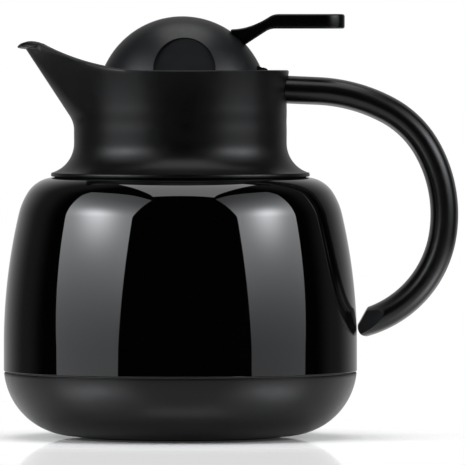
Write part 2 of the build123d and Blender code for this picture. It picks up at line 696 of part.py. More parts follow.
def hinge_ears():
    """Two ears on the deck, one each side of the lid's knuckles."""
    reach = NECK_INNER + BITE
    front = HINGE_X - BARREL_RADIUS
    foot = (DECK_FRONT_X, DECK_Z - BITE)
    profile = [
        *Polyline(
            foot, (reach, DECK_Z - BITE), (reach, DECK_Z + EAR_FOOT), (HINGE_X + BARREL_RADIUS, HINGE_Z)
        ).edges(),
        arc((HINGE_X, HINGE_Z), BARREL_RADIUS, 0, 180),
        *Polyline((front, HINGE_Z), (front + EAR_WAIST[0], HINGE_Z - EAR_WAIST[1]), foot).edges(),
    ]
    blank = across(profile, EAR_WIDTH)
    middle = EAR_INNER + EAR_WIDTH / 2
    ears = Pos(0, -middle, 0) * blank + Pos(0, middle, 0) * blank
    return ears - crosswise_cylinder(HINGE_X, HINGE_Z, PIN_RADIUS + PIN_PLAY, FAR)


def make_spout_collar():
    """Moulded collar with the flange, flare, neck and spout in one thin wall."""
    collar = collar_blank() - collar_bore() - neck_and_spout(COLLAR_WALL)
    for side in (-1, 1):
        collar -= lengthwise_cylinder(
            DECK_FRONT_X + DECK_WALL, side * HANDLE_SCREW_SPREAD, HANDLE_SCREW_Z,
            HANDLE_SCREW_RADIUS + FIT, FAR,
        )
    return collar


def make_pour_insert():
    """Moulding inside the collar: spigot, throat, seat, draining basin floor, hinge deck and ears."""
    from_front = (Align.MIN, Align.CENTER, Align.MAX)
    deck = Pos(DECK_FRONT_X, 0, DECK_Z) * Box(FAR, 2 * DECK_HALF_WIDTH, DECK_Z - SEAT_Z, align=from_front)
    pocket = Pos(DECK_FRONT_X + DECK_WALL, 0, DECK_Z - DECK_WALL) * Box(
        FAR, 2 * (DECK_HALF_WIDTH - DECK_WALL), DECK_Z - DECK_WALL - SEAT_Z + BITE, align=from_front
    )
    skirt_room = Pos(0, 0, FLARE_CENTRE_Z) * Cylinder(SPIGOT_INNER - BITE, DECK_Z - FLARE_CENTRE_Z)
    inside = neck_and_spout(COLLAR_WALL + FIT) + skirt_room
    return ((throat_and_floor() + deck + hinge_ears()) & inside) + spigot() - pocket


# Handle
HANDLE_SEAT = NECK_RADIUS + SEAT_GAP


def handle_path():
    """Centre line: a straight root and tangent arcs that turn down and back to the body."""
    heading = -HANDLE_SLOPE
    root = (NECK_RADIUS - HANDLE_SUNK, HANDLE_Z)
    end = polar(root, HANDLE_ROOT, heading)
    edges = [Line(root, end)]
    for radius, turn in HANDLE_ARCS:
        centre = polar(end, radius, heading - 90)
        edges.append(arc(centre, radius, heading + 90, heading + 90 - turn))
        heading -= turn
        end = polar(centre, radius, heading + 90)
    return Plane.XZ * Wire(edges)


def handle_section():
    """Crowned oval: broad gently curved faces and round sides."""
    half_width, half_thick = HANDLE_WIDTH / 2, HANDLE_THICKNESS / 2
    side = HANDLE_SIDE_ROUND
    offset_x = half_width - side
    crown = (offset_x**2 + half_thick**2 - side**2) / (2 * (half_thick - side))
    drop = crown - half_thick
    spread = math.degrees(math.atan2(offset_x, drop))
    return make_face([
        CenterArc((0, -drop), crown, 90 - spread, 2 * spread),
        CenterArc((-offset_x, 0), side, 90 + spread, 180 - 2 * spread),
        CenterArc((0, drop), crown, 270 - spread, 2 * spread),
        CenterArc((offset_x, 0), side, 270 + spread, 180 - 2 * spread),
    ])


def handle_end_cutter():
    """What is cut off the free end: the slanted face by the casing, the round nose and side bevels."""
    near_x = BODY_RADIUS + HANDLE_END_GAP
    lean = math.radians(HANDLE_END_LEAN)
    top_z = HANDLE_END_Z + HANDLE_CUT_RISE
    slanted = Polyline(
        (near_x, HANDLE_END_Z), (near_x + HANDLE_CUT_RISE * math.tan(lean), top_z), (NECK_RADIUS, top_z),
        (NECK_RADIUS, 0), (near_x, 0), close=True,
    )
    cutter = across(slanted.edges(), 2 * HANDLE_WIDTH)
    nose_corner = Pos(near_x, 0, 0) * Box(
        HANDLE_NOSE, 2 * HANDLE_WIDTH, HANDLE_NOSE_Z, align=(Align.MIN, Align.CENTER, Align.MIN)
    )
    nose_corner -= crosswise_cylinder(near_x + HANDLE_NOSE, HANDLE_NOSE_Z, HANDLE_NOSE, 3 * HANDLE_WIDTH)
    cutter += nose_corner
    near_y = HANDLE_WIDTH / 2 - HANDLE_END_NARROW
    for side in (-1, 1):
        bevel = Polyline(
            (near_x, side * near_y), (near_x + HANDLE_END_BEVEL, side * HANDLE_WIDTH / 2),
            (near_x + HANDLE_END_BEVEL, side * HANDLE_WIDTH), (near_x, side * HANDLE_WIDTH), close=True,
        )
        cutter += extrude(make_face(bevel.edges()), HANDLE_END_Z + HANDLE_THICKNESS)
    return cutter


def make_handle():
    """Loop handle, screwed to the collar's back and ending free just clear of the casing."""
    path = handle_path()
    start = Plane(origin=path @ 0, x_dir=(0, 1, 0), z_dir=path % 0)
    bar = sweep(start * handle_section(), path=path)
    bar -= Cylinder(HANDLE_SEAT, FAR * 2)
    bar -= neck_and_spout(-SEAT_GAP)
    bar -= handle_end_cutter()
    for side in (-1, 1):
        bar -= lengthwise_cylinder(
            NECK_RADIUS - HANDLE_SUNK, side * HANDLE_SCREW_SPREAD, HANDLE_SCREW_Z,
            HANDLE_SCREW_RADIUS + PIN_PLAY, HANDLE_SUNK + HANDLE_SCREW_LENGTH,
        )
    return bar


def pan_head_screw(radius, length, head_radius, head_height):
    """A screw along Z with a cross recess, its head's bearing face at zero."""
    recess = SCREW_RECESS * head_radius
    below = (Align.CENTER, Align.CENTER, Align.MAX)
    above = (Align.CENTER, Align.CENTER, Align.MIN)
    head = Cylinder(head_radius, head_height, align=below)
    cross = Box(2 * recess, SCREW_SLOT, head_height) + Box(SCREW_SLOT, 2 * recess, head_height)
    shank = Pos(0, 0, -head_height / 4) * Cylinder(radius, length + head_height / 4, align=above)
    return head - Pos(0, 0, -head_height) * cross + shank


def screw_head_x():
    """Inner face of the collar wall at the screws, where their heads bear."""
    return math.sqrt(NECK_INNER**2 - (HANDLE_SCREW_SPREAD + HANDLE_SCREW_HEAD) ** 2)


def make_handle_screws():
    """Two pan-head screws, driven from inside the collar's dry pocket into the handle."""
    screw = pan_head_screw(
        HANDLE_SCREW_RADIUS, HANDLE_SCREW_LENGTH, HANDLE_SCREW_HEAD, HANDLE_SCREW_HEAD_HEIGHT
    )
    screw = Pos(screw_head_x(), 0, HANDLE_SCREW_Z) * (Rot(0, 90, 0) * screw)
    return Compound(children=[Pos(0, side * HANDLE_SCREW_SPREAD, 0) * screw for side in (-1, 1)])


# Hinge and lid
def make_hinge_pin():
    """Stainless pin through the ears and the lid's knuckles, with a small head at each end."""
    pin = crosswise_cylinder(HINGE_X, HINGE_Z, PIN_RADIUS, 2 * (EAR_OUTER + RUNNING_GAP))
    for side in (-1, 1):
        head = Pos(0, side * (EAR_OUTER + RUNNING_GAP + PIN_HEAD / 2), 0)
        pin += head * crosswise_cylinder(HINGE_X, HINGE_Z, PIN_RADIUS + PIN_HEAD, PIN_HEAD)
    return pin


def hinge_notch():
    """Room in the lid's edge for the ears, the knuckles and the spring."""
    front = HINGE_X - BARREL_RADIUS - RUNNING_GAP
    top = HINGE_Z + BARREL_RADIUS + 2 * RUNNING_GAP
    return Pos(front, 0, 0) * Box(
        FAR, 2 * (EAR_OUTER + PIN_HEAD + 2 * RUNNING_GAP), top, align=(Align.MIN, Align.CENTER, Align.MIN)
    )


def dome_ball(radius):
    """The ball that the lid's dome is part of."""
    return Pos(DOME_X, 0, DOME_CENTRE_Z) * Sphere(radius)


def grip_recess(side):
    """A round finger flat on one side of the dome, its floor leaning with the dome."""
    top_z = GRIP_Z + GRIP_RADIUS
    top_y = math.sqrt(DOME_RADIUS**2 - (top_z - DOME_CENTRE_Z) ** 2 - (GRIP_X - DOME_X) ** 2)
    drum = Pos(GRIP_X, 0, GRIP_Z) * (Rot(90, 0, 0) * Cylinder(GRIP_RADIUS, FAR))
    floor = Plane(
        origin=(GRIP_X, side * (top_y - GRIP_DEPTH), top_z),
        x_dir=(1, 0, 0),
        z_dir=(0, side * math.cos(math.radians(GRIP_TILT)), math.sin(math.radians(GRIP_TILT))),
    )
    outside = floor * Box(FAR, FAR, FAR, align=(Align.CENTER, Align.CENTER, Align.MIN))
    return drum & outside


def lever_screw_frame():
    """The direction of the lever's screws: square to the dome at the lever's root."""
    lean = math.radians(LEVER_SCREW_ANGLE)
    out = (math.sin(lean), 0, math.cos(lean))
    seat = DOME_RADIUS - DOME_WALL
    return Plane(
        origin=(DOME_X + out[0] * seat, 0, DOME_CENTRE_Z + out[2] * seat), x_dir=(0, 1, 0), z_dir=out
    )


def lever_screw_holes(radius):
    """Holes for the lever's two screws, from inside the dome outwards."""
    frame = lever_screw_frame()
    holes = []
    for side in (-1, 1):
        holes.append(frame * (Pos(side * LEVER_SCREW_SPREAD, 0, 0) * Cylinder(
            radius, 2 * (LEVER_SCREW_LENGTH + BITE)
        )))
    return holes


def make_lid_dome():
    """Domed lid shell with finger flats and the two hinge knuckles."""
    shell = dome_ball(DOME_RADIUS)
    for side in (-1, 1):
        shell -= grip_recess(side)
    hollow = dome_ball(DOME_RADIUS - DOME_WALL)
    for side in (-1, 1):
        hollow -= Pos(0, side * -DOME_WALL, 0) * grip_recess(side)
    shell -= hollow
    shell -= Pos(0, 0, DOME_EDGE_Z - FAR / 2) * Box(FAR, FAR, FAR)
    shell -= hinge_notch()
    front = HINGE_X - BARREL_RADIUS - RUNNING_GAP
    inner_edge = math.sqrt((DOME_RADIUS - DOME_WALL) ** 2 - (DOME_EDGE_Z - DOME_CENTRE_Z) ** 2)
    web = Polyline(
        (HINGE_X, HINGE_Z - BARREL_RADIUS * KNUCKLE_WEB), (inner_edge + FIT, DOME_EDGE_Z),
        (front - DOME_WALL / 2, HINGE_Z + BARREL_RADIUS), (HINGE_X, HINGE_Z + BARREL_RADIUS), close=True,
    )
    knuckle = across(web.edges(), KNUCKLE_WIDTH)
    knuckle += crosswise_cylinder(HINGE_X, HINGE_Z, BARREL_RADIUS, KNUCKLE_WIDTH)
    for side in (-1, 1):
        shell += Pos(0, side * (SPRING_BAY + KNUCKLE_WIDTH) / 2, 0) * knuckle
    shell -= crosswise_cylinder(HINGE_X, HINGE_Z, PIN_RADIUS + PIN_PLAY, FAR)
    for hole in lever_screw_holes(LEVER_SCREW_RADIUS + FIT):
        shell -= hole
    leg_z = HINGE_Z + SPRING_INNER_RADIUS + SPRING_WIRE / 2
    slot = Pos(front, -SPRING_TURNS * SPRING_PITCH / 2, leg_z)
    return shell - slot * Box(3 * DOME_WALL, 2 * SPRING_WIRE, 2 * SPRING_WIRE)


def make_lid_plug():
    """Cup-shaped plug that closes the dome from below and carries the seal."""
    foot_radius = MOUTH_RADIUS - 2 * RUNNING_GAP
    bottom = SEAT_Z + RUNNING_GAP
    groove_radius = SEAT_TOP_RADIUS - SEAL_WIDTH - RUNNING_GAP
    groove_low = bottom + SEAL_LEDGE
    groove_high = groove_low + SEAL_HEIGHT + FIT
    wall_foot = SEAT_TOP_RADIUS - PLUG_WALL_FOOT
    flange_low = DOME_EDGE_Z - PLUG_FLANGE
    spigot_top, spigot_inner = DOME_EDGE_Z + PLUG_SPIGOT, PLUG_TOP_RADIUS - PLUG_WALL
    inner = groove_radius - PLUG_WALL
    plug = turned_points(
        (0, bottom), (foot_radius, bottom), (foot_radius, groove_low), (groove_radius, groove_low),
        (groove_radius, groove_high), (wall_foot, groove_high), (PLUG_TOP_RADIUS, flange_low),
        (PLUG_FLANGE_RADIUS, flange_low), (PLUG_FLANGE_RADIUS, DOME_EDGE_Z), (PLUG_TOP_RADIUS, DOME_EDGE_Z),
        (PLUG_TOP_RADIUS, spigot_top), (spigot_inner, spigot_top), (spigot_inner, flange_low),
        (wall_foot - PLUG_WALL, groove_high + PLUG_WALL),
        (inner, groove_high + PLUG_WALL), (inner, bottom + PLUG_WALL), (0, bottom + PLUG_WALL),
    )
    above_edge = Pos(0, 0, DOME_EDGE_Z + FAR / 2) * Box(FAR, FAR, FAR)
    plug -= above_edge - dome_ball(DOME_RADIUS - DOME_WALL - FIT)
    for side in (-1, 1):
        plug -= above_edge & (Pos(0, side * -(DOME_WALL + FIT), 0) * grip_recess(side))
    return plug - hinge_notch()


def make_lid_seal():
    """Silicone ring round the plug, with the face that meets the seat's cone."""
    low = SEAT_Z + RUNNING_GAP + SEAL_LEDGE
    high = low + SEAL_HEIGHT
    back = SEAT_TOP_RADIUS - SEAL_WIDTH - RUNNING_GAP
    clear = RUNNING_GAP * math.sqrt(2)
    low_radius = MOUTH_RADIUS + (low - SEAT_Z) - clear
    top_radius = SEAT_TOP_RADIUS - clear
    return turned_points(
        (back, low), (low_radius, low), (top_radius, SEAT_TOP_Z), (top_radius, high), (back, high)
    )


def make_thumb_lever():
    """Thumb lever: a saddle root on the dome, a sloping neck and a level pad with a round end."""
    low = LEVER_TOP_Z - LEVER_THICKNESS
    slope = math.radians(LEVER_SLOPE)
    root_z = DOME_CENTRE_Z + math.sqrt(DOME_RADIUS**2 - (LEVER_ROOT_X - DOME_X) ** 2) + LEVER_ROOT_RISE
    heel_z = DOME_CENTRE_Z + math.sqrt(DOME_RADIUS**2 - (LEVER_HEEL_X - DOME_X) ** 2)
    knee_low_x = LEVER_HEEL_X + (low - heel_z) / math.tan(slope)
    knee_top = polar((LEVER_ELBOW_X, LEVER_TOP_Z - LEVER_ELBOW_ARC), LEVER_ELBOW_ARC, 90 + LEVER_SLOPE)
    bend = LEVER_ELBOW_ARC * math.tan(slope / 2)
    low_start = (knee_low_x - bend * math.cos(slope), low - bend * math.sin(slope))
    sunk = (LEVER_HEEL_X - LEVER_SUNK * math.cos(slope), heel_z - LEVER_SUNK * math.sin(slope))
    root_foot = (LEVER_ROOT_X, root_z - LEVER_SUNK)
    profile = [
        Line(root_foot, (LEVER_ROOT_X, root_z)),
        TangentArc(knee_top, (LEVER_ROOT_X, root_z), tangent=(-math.cos(slope), -math.sin(slope))),
        TangentArc(knee_top, (LEVER_ELBOW_X, LEVER_TOP_Z), tangent=(math.cos(slope), math.sin(slope))),
        Line((LEVER_ELBOW_X, LEVER_TOP_Z), (LEVER_END_X, LEVER_TOP_Z)),
        Line((LEVER_END_X, LEVER_TOP_Z), (LEVER_END_X, low)),
        Line((LEVER_END_X, low), (knee_low_x + bend, low)),
        TangentArc((knee_low_x + bend, low), low_start, tangent=(-1, 0)),
        Line(low_start, sunk),
        Line(sunk, root_foot),
    ]
    half_root, half_pad = LEVER_ROOT_WIDTH / 2, LEVER_PAD_WIDTH / 2
    pad_x = LEVER_END_X - half_pad
    start_x = LEVER_ROOT_X - BITE
    plan = [
        Line((start_x, -half_root), (pad_x, -half_pad)),
        CenterArc((pad_x, 0), half_pad, -90, 180),
        Line((pad_x, half_pad), (start_x, half_root)),
        Line((start_x, half_root), (start_x, -half_root)),
    ]
    lever = across(profile, 2 * LEVER_PAD_WIDTH) & extrude(make_face(plan), FAR * 2)
    arcs = lever.edges().filter_by(GeomType.CIRCLE)
    lever = fillet([edge for edge in arcs if edge.length > 3 * half_pad], LEVER_ROUND)
    lever -= dome_ball(DOME_RADIUS + SEAT_GAP)
    well_radius = half_pad - LEVER_WALL
    well = extrude(make_face([
        Line((LEVER_ELBOW_X, -well_radius), (pad_x, -well_radius)),
        CenterArc((pad_x, 0), well_radius, -90, 180),
        Line((pad_x, well_radius), (LEVER_ELBOW_X, well_radius)),
        Line((LEVER_ELBOW_X, well_radius), (LEVER_ELBOW_X, -well_radius)),
    ]), LEVER_TOP_Z - LEVER_WALL)
    rib_x = (LEVER_ELBOW_X + pad_x) / 2
    well -= Pos(rib_x, 0, LEVER_TOP_Z) * Box(LEVER_RIB, LEVER_PAD_WIDTH, FAR)
    lever -= well
    for hole in lever_screw_holes(LEVER_SCREW_RADIUS + PIN_PLAY):
        lever -= hole
    return lever


def make_lever_screws():
    """Two small pan-head screws from inside the dome into the lever's root."""
    frame = lever_screw_frame()
    seat = math.sqrt((DOME_RADIUS - DOME_WALL) ** 2 - (LEVER_SCREW_SPREAD + LEVER_SCREW_HEAD) ** 2)
    sink = DOME_RADIUS - DOME_WALL - seat
    screw = pan_head_screw(
        LEVER_SCREW_RADIUS, LEVER_SCREW_LENGTH, LEVER_SCREW_HEAD, LEVER_SCREW_HEAD_HEIGHT
    )
    places = [Pos(side * LEVER_SCREW_SPREAD, 0, -sink) for side in (-1, 1)]
    return Compound(children=[frame * (place * screw) for place in places])


def two_arcs(start, start_way, end, end_way):
    """Two arcs that leave the start along its direction and reach the end along its own."""
    chord, ways = end - start, start_way + end_way
    square = ways.dot(ways) - 4
    half = chord.dot(ways)
    reach = (half - math.sqrt(half**2 - square * chord.dot(chord))) / square
    near, far = start + start_way * reach, end - end_way * reach
    middle = (near + far) * 0.5
    return [
        Edge.make_tangent_arc(start, start_way, middle),
        Edge.make_tangent_arc(middle, (far - near).normalized(), end),
    ]


def spring_path(mean):
    """Centre line of the spring: a leg, quarter turns of two arcs each, and the other leg."""
    quarters = round(SPRING_TURNS * 4)
    rise = SPRING_PITCH / 4
    climb = 2 * rise / (math.pi * mean)
    points, ways = [], []
    for quarter in range(quarters + 1):
        turn = math.pi / 2 * quarter
        level = quarter in (0, quarters)
        points.append(Vector(mean * math.cos(turn), mean * math.sin(turn), rise * quarter))
        ways.append(Vector(-math.sin(turn), math.cos(turn), 0 if level else climb).normalized())
    edges = [Edge.make_line(points[0] - ways[0] * SPRING_LEG, points[0])]
    for quarter in range(quarters):
        edges += two_arcs(points[quarter], ways[quarter], points[quarter + 1], ways[quarter + 1])
    drop = HINGE_Z - DECK_Z - RUNNING_GAP
    edges.append(Edge.make_line(points[-1], points[-1] + ways[-1] * drop))
    return Wire(edges)


def make_closing_spring():
    """Torsion spring round the hinge pin, with a leg into the dome and a leg down to the deck."""
    path = spring_path(SPRING_INNER_RADIUS + SPRING_WIRE / 2)
    section = Plane(origin=path @ 0, z_dir=path % 0) * RegularPolygon(SPRING_WIRE / 2, WIRE_SIDES)
    spring = sweep(section, path=path)
    half_length = SPRING_TURNS * SPRING_PITCH / 2
    return Plane(origin=(HINGE_X, -half_length, HINGE_Z), x_dir=(0, 0, 1), z_dir=(0, 1, 0)) * spring


def write(name, shape):
    """Save one piece under its name."""
    export_step(shape, os.path.join("parts", name + ".step"))


PIECES = {
    "outer_casing": make_outer_casing,
    "base_thread_ring": make_base_thread_ring,
    "seam_seal": make_seam_seal,
    "base_cup": make_base_cup,
    "foot_ring": make_foot_ring,
    "liner_outer_bottle": make_liner_outer,
    "liner_inner_bottle": make_liner_inner,
    "liner_spacers": make_liner_spacers,
    "liner_cushion": make_liner_cushion,
    "neck_gasket": make_neck_gasket,
    "collar_gasket": make_collar_gasket,
    "collar_clamp_nut": make_clamp_nut,
    "spout_collar": make_spout_collar,
    "pour_insert": make_pour_insert,
    "handle": make_handle,
    "handle_screws": make_handle_screws,
    "hinge_pin": make_hinge_pin,
    "lid_dome": make_lid_dome,
    "lid_plug": make_lid_plug,
    "lid_seal": make_lid_seal,
    "thumb_lever": make_thumb_lever,
    "lever_screws": make_lever_screws,
    "closing_spring": make_closing_spring,
}


def main():
    """Build every piece and save it."""
    os.makedirs("parts", exist_ok=True)
    for name, make in PIECES.items():
        write(name, make())


if __name__ == "__main__":
    main()
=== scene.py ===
"""A thermal carafe dressed for a studio shot: a ball-shaped gloss black body on a matt base cup, a
moulded spout collar, a loop handle, and a domed lid that a thumb lever opens.

Lengths in the tables and functions are millimetres. The jug's axis is Z, the spout points to -X and
the handle to +X. Meshes are turned into metres when a piece is finished.
"""

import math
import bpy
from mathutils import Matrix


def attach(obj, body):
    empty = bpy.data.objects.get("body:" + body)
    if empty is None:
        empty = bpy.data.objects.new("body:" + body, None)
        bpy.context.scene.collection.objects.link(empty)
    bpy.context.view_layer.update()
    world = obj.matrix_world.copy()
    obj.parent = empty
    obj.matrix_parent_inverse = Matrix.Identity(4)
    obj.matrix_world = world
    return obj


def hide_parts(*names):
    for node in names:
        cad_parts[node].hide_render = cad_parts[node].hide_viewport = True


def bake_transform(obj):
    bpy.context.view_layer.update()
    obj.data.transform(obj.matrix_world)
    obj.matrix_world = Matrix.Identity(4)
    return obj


bl_info = {
    "name": "Thermal Carafe",
    "version": (1, 0, 0),
    "blender": (4, 5, 0),
    "location": "3D View > Sidebar > Carafe",
    "description": "Builds the dressed pieces of a thermal carafe and a small studio around it",
    "category": "Object",
}

import bmesh
import bpy
from bpy.props import FloatProperty, FloatVectorProperty, IntProperty, PointerProperty
from mathutils import Matrix, Vector

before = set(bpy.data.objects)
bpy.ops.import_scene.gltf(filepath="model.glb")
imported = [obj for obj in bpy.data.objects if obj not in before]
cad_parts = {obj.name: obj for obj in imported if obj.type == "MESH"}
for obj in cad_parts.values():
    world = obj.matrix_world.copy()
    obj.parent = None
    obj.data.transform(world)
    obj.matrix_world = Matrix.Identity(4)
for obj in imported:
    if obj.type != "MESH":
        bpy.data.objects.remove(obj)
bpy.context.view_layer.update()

VERT, EDGE = bmesh.types.BMVert, bmesh.types.BMEdge
MM = 0.001
SMOOTH_BELOW = 30.0  # degrees; sharper edges stay crisp
MERGE = 0.002  # points nearer than this become one
CAD_MERGE = 0.001
CUT_MERGE = 0.0001
RING_STEPS = 160  # steps once round the small rings
NEARLY = 0.95  # keeps a curve off the end of its range

# Body outline
BODY_RADIUS = 80.0
BASE_ARC = 31.4
BASE_ARC_Z = 32.2
SIDE_ARC = 260.0
SIDE_Z = 42.0
SIDE_TURN = 13.1
SHOULDER_ARC = 32.0
SHOULDER_TURN = 32.0
CROWN_ARC = 15.0
CROWN_TURN = 84.0
MOUTH_RADIUS = 44.2
CASING_TOP_Z = 118.42
SEAM_Z = 29.6
SEAM_GAP = 0.8
SEAM_DEPTH = 0.5
SEAL_ROUND = 0.2
RING_CLEAR = 0.15  # room round the seam's ring and the foot ring

# Base cup and foot ring
UNDERSIDE_Z = 0.8
CUP_WALL = 2.4
CUP_FLOOR_Z = 4.2
CUP_LIP = ((0.1, 0.4), (0.5, 0.0))  # (in, down) from the cup's upper edge, in roundings
CUP_PANEL_RADIUS = 37.0
CUP_PANEL_DEPTH = 1.2
UPSTAND_OUTER = 77.0
UPSTAND_INNER = 75.2
UPSTAND_TOP_Z = 46.2
SOCKET_INNER = 19.15
SOCKET_OUTER = 21.15
SOCKET_TOP_Z = 7.8
FOOT_RADIUS = 43.0
FOOT_WIDTH = 4.0
FOOT_GROOVE = 1.4
FOOT_ROUND = 0.6

# Collar
FLANGE_RADIUS = 58.6
FLANGE_Z = 118.0
FLANGE_EDGE = 1.6
FLANGE_RECESS = 1.2
FLANGE_SKIRT = 1.2
FLANGE_SKIRT_ROUND = 0.2
FLANGE_FOOT = ((-0.45, 0.0), (-0.13, 0.13), (0.0, 0.45))  # (out, up) from the flange's lower corner
FLANGE_HEAD = ((0.0, -0.6), (-0.2, -0.15))  # the same from its upper corner
FLARE_ARC = 14.0
NECK_RADIUS = 48.15
NECK_SWELL = 1.05
NECK_SWELL_Z = 150.0
NECK_SINK = 0.055  # faint sink bands that the ribs behind the wall leave
NECK_SINK_PITCH = 10.4
NECK_SINK_Z = 140.0
NECK_SINK_ENDS = (134.0, 152.0)
COLLAR_WALL = 2.2
COLLAR_BORE = 43.75
GASKET_INNER = 44.8
GASKET_OUTER = 57.2
GASKET_ROUND = 0.3
GASKET_HEEL = 0.4
RIM_Z = 166.1
SPOUT_LEAN = 33.3
SPOUT_REACH = 70.2
SPOUT_END_Z = 176.0
SPOUT_ROOT_ARC = 12.0
SPOUT_FOOT = 0.01  # the spout starts this far above its root
SPOUT_NOSE = 8.5
SPOUT_TAPER = 1.6
SPOUT_EASE = 0.4  # radians in which the neck's circle runs out into the spout's side
LIP_REACH = 73.8
LIP_NOSE = 10.0
LIP_DROP = 3.3
LIP_ROLL = (  # share of the overhang, length back from there, and length up
    (0.55, 0.0, 0.25), (0.93, 0.0, 0.62), (1.0, 0.0, 1.1), (1.0, 0.35, 1.65), (1.0, 1.35, 2.5),
)
LIP_INSIDE = (0.5, 0.12)
RIM_OUTSIDE = ((0.08, 0.55), (0.3, 0.2), (0.75, 0.0))  # (in, roundings down) from the rim's outer edge
RIM_INSIDE = ((0.65, 0.0), (0.22, 0.2))  # the same from its inner edge
RIM_CROWN = 0.03
RIM_INNER_END = 0.8  # roundings down to the inner wall
RIM_ROUNDS = 40  # rounds that settle the rim's height
RIM_SWEEP_X = -14.5
RIM_SWEEP_ARC = 104.0
RIM_SWEEP_TURN = 27.5
LIP_TOP_ARC = 13.6
LIP_FRONT_ARC = 5.0
NOSE_CROWD = 0.78  # how far the columns crowd towards the spout's nose, of 1
COLLAR_COLUMNS = 288
FLARE_ROWS = 14
WALL_ROWS = 30
INNER_ROWS = 20

# Lid
DOME_RADIUS = 38.7
DOME_WALL = 2.2
DOME_X = 0.9
DOME_CENTRE_Z = 151.8
DOME_EDGE_Z = 163.8
DOME_EDGE_ROUND = 0.3
DOME_LIP = ((0.2, 0.3), (1.0, 0.0))  # (in, up) from the dome's lower edge, in roundings
DOME_ROWS = 64
DOME_COLUMNS = 240
DOME_SMOOTH_BELOW = 15.0
HOLLOW_DROP = 2.0  # reach of the hollowing tool below the dome's edge
GRIP_RADIUS = 14.0
GRIP_X = 2.0
GRIP_Z = 166.8
GRIP_TILT = 21.0
GRIP_DEPTH = 0.5
GRIP_STEPS = 160
GRIP_DRUM_Y = 50.0
GRIP_DRUM_LENGTH = 60.0
HINGE_X = 37.5
HINGE_Z = 164.7
PIN_BORE = 1.05
BARREL_RADIUS = 2.6
KNUCKLE_WIDTH = 3.5
KNUCKLE_Y = 6.95
NOTCH_FRONT_X = 34.6
NOTCH_HALF_WIDTH = 13.5
NOTCH_TOP_Z = 167.9
NOTCH_LENGTH = 30.0
NOTCH_HEIGHT = 20.0
KNUCKLE_STEPS = 32
KNUCKLE_WEB = (  # side-view corners of the web from a barrel to the dome
    (HINGE_X - 1.2, HINGE_Z - 0.91), (NOTCH_FRONT_X, NOTCH_TOP_Z - 4.0),
    (NOTCH_FRONT_X - 1.1, NOTCH_TOP_Z + 0.5), (NOTCH_FRONT_X + 1.2, NOTCH_TOP_Z),
    (HINGE_X - 0.4, HINGE_Z + 2.55), (HINGE_X - 1.2, HINGE_Z),
)

# Thumb lever
LEVER_END_X = 74.4
LEVER_TOP_Z = 191.5
LEVER_THICKNESS = 6.6
LEVER_ROOT_X = 22.8
LEVER_ROOT_RISE = 0.9
LEVER_ELBOW_X = 44.5
LEVER_ROOT_WIDTH = 14.0
LEVER_PAD_WIDTH = 19.0
LEVER_SLOPE = 33.0
LEVER_ELBOW_ARC = 8.0
LEVER_HEEL_X = 29.6
LEVER_ROUND = 1.0
LEVER_EDGE = ((0.0, 1.0), (0.08, 0.62), (0.3, 0.29), (0.62, 0.08), (1.0, 0.0))  # (in, down) shares
LEVER_INNER_RINGS = (0.33, 0.66, 1.0)
LEVER_ROOT_SHARE = 0.1  # where the outline's root ends, of half its columns
LEVER_SIDE_SHARE = 0.62
LEVER_THINNEST = 0.2
LEVER_COLUMNS = 200
SEAT_GAP = 0.05

# Handle
HANDLE_Z = 157.3
HANDLE_SLOPE = 2.0
HANDLE_START_X = 45.15
HANDLE_ROOT = 16.5
HANDLE_ARCS = ((74.0, 26.0), (44.6, 32.2), (60.4, 39.1), (49.0, 80.0))
HANDLE_THICKNESS = 12.6
HANDLE_WIDTH = 22.0
HANDLE_SIDE_ROUND = 5.5
HANDLE_END_X = 80.4
HANDLE_END_Z = 50.6
HANDLE_END_LEAN = 29.0
HANDLE_END_FACET = 24.0  # degrees that the side facets turn in
HANDLE_END_NARROW = 3.4
HANDLE_NOSE = 3.6
HANDLE_NOSE_Z = 49.4
HANDLE_NOSE_CUTS = (192.0, 208.0, 224.0, 240.0, 256.0)
HANDLE_COLUMNS = 56
HANDLE_STEP = 2.0  # degrees between the handle's rings
HANDLE_BEVEL_ABOVE = 24.0
HANDLE_BEVEL_STEPS = 3
HANDLE_CUT_BELOW = 75.0
FACET_SKIN = 0.04  # points this near the facets' planes lie on them


# Helpers for outlines and meshes

def polar(centre, radius, degrees):
    """The point at an angle on a circle in the side view."""
    turn = math.radians(degrees)
    return (centre[0] + radius * math.cos(turn), centre[1] + radius * math.sin(turn))


def arc_height(radius, *offsets):
    """How far a circle or ball rises over its middle at some offsets from its centre."""
    return math.sqrt(max(0.0, radius**2 - sum(offset**2 for offset in offsets)))


def step_to(bm, tip, x, z):
    """Extrude the outline's last point to a new place."""
    new = bmesh.ops.extrude_vert_indiv(bm, verts=[tip])["verts"][0]
    new.co = (x, 0, z)
    return new


def sweep_round(bm, geom, centre, degrees, steps, axis=(0, -1, 0), closed=False):
    """Spin geometry about a centre and hand back what the last step made."""
    return bmesh.ops.spin(
        bm, geom=geom, cent=centre, axis=axis, dvec=(0, 0, 0), angle=math.radians(degrees),
        steps=steps, use_merge=closed, use_duplicate=False,
    )["geom_last"]


def full_turn(bm, steps):
    """Spin everything once round the jug's axis and close the seam."""
    sweep_round(bm, bm.verts[:] + bm.edges[:], (0, 0, 0), 360, steps, axis=(0, 0, 1), closed=True)


def turned(moves, steps):
    """A closed outline of (x, z) places and (centre, degrees, steps) arcs, turned once round the axis."""
    bm = bmesh.new()
    first = tip = bm.verts.new((moves[0][0], 0, moves[0][1]))
    for move in moves[1:]:
        if len(move) == 2:
            tip = step_to(bm, tip, *move)
        else:
            centre, degrees, arc_steps = move
            tip = sweep_round(bm, [tip], (centre[0], 0, centre[1]), degrees, arc_steps)[0]
    bm.edges.new((tip, first))
    full_turn(bm, steps)
    return bm


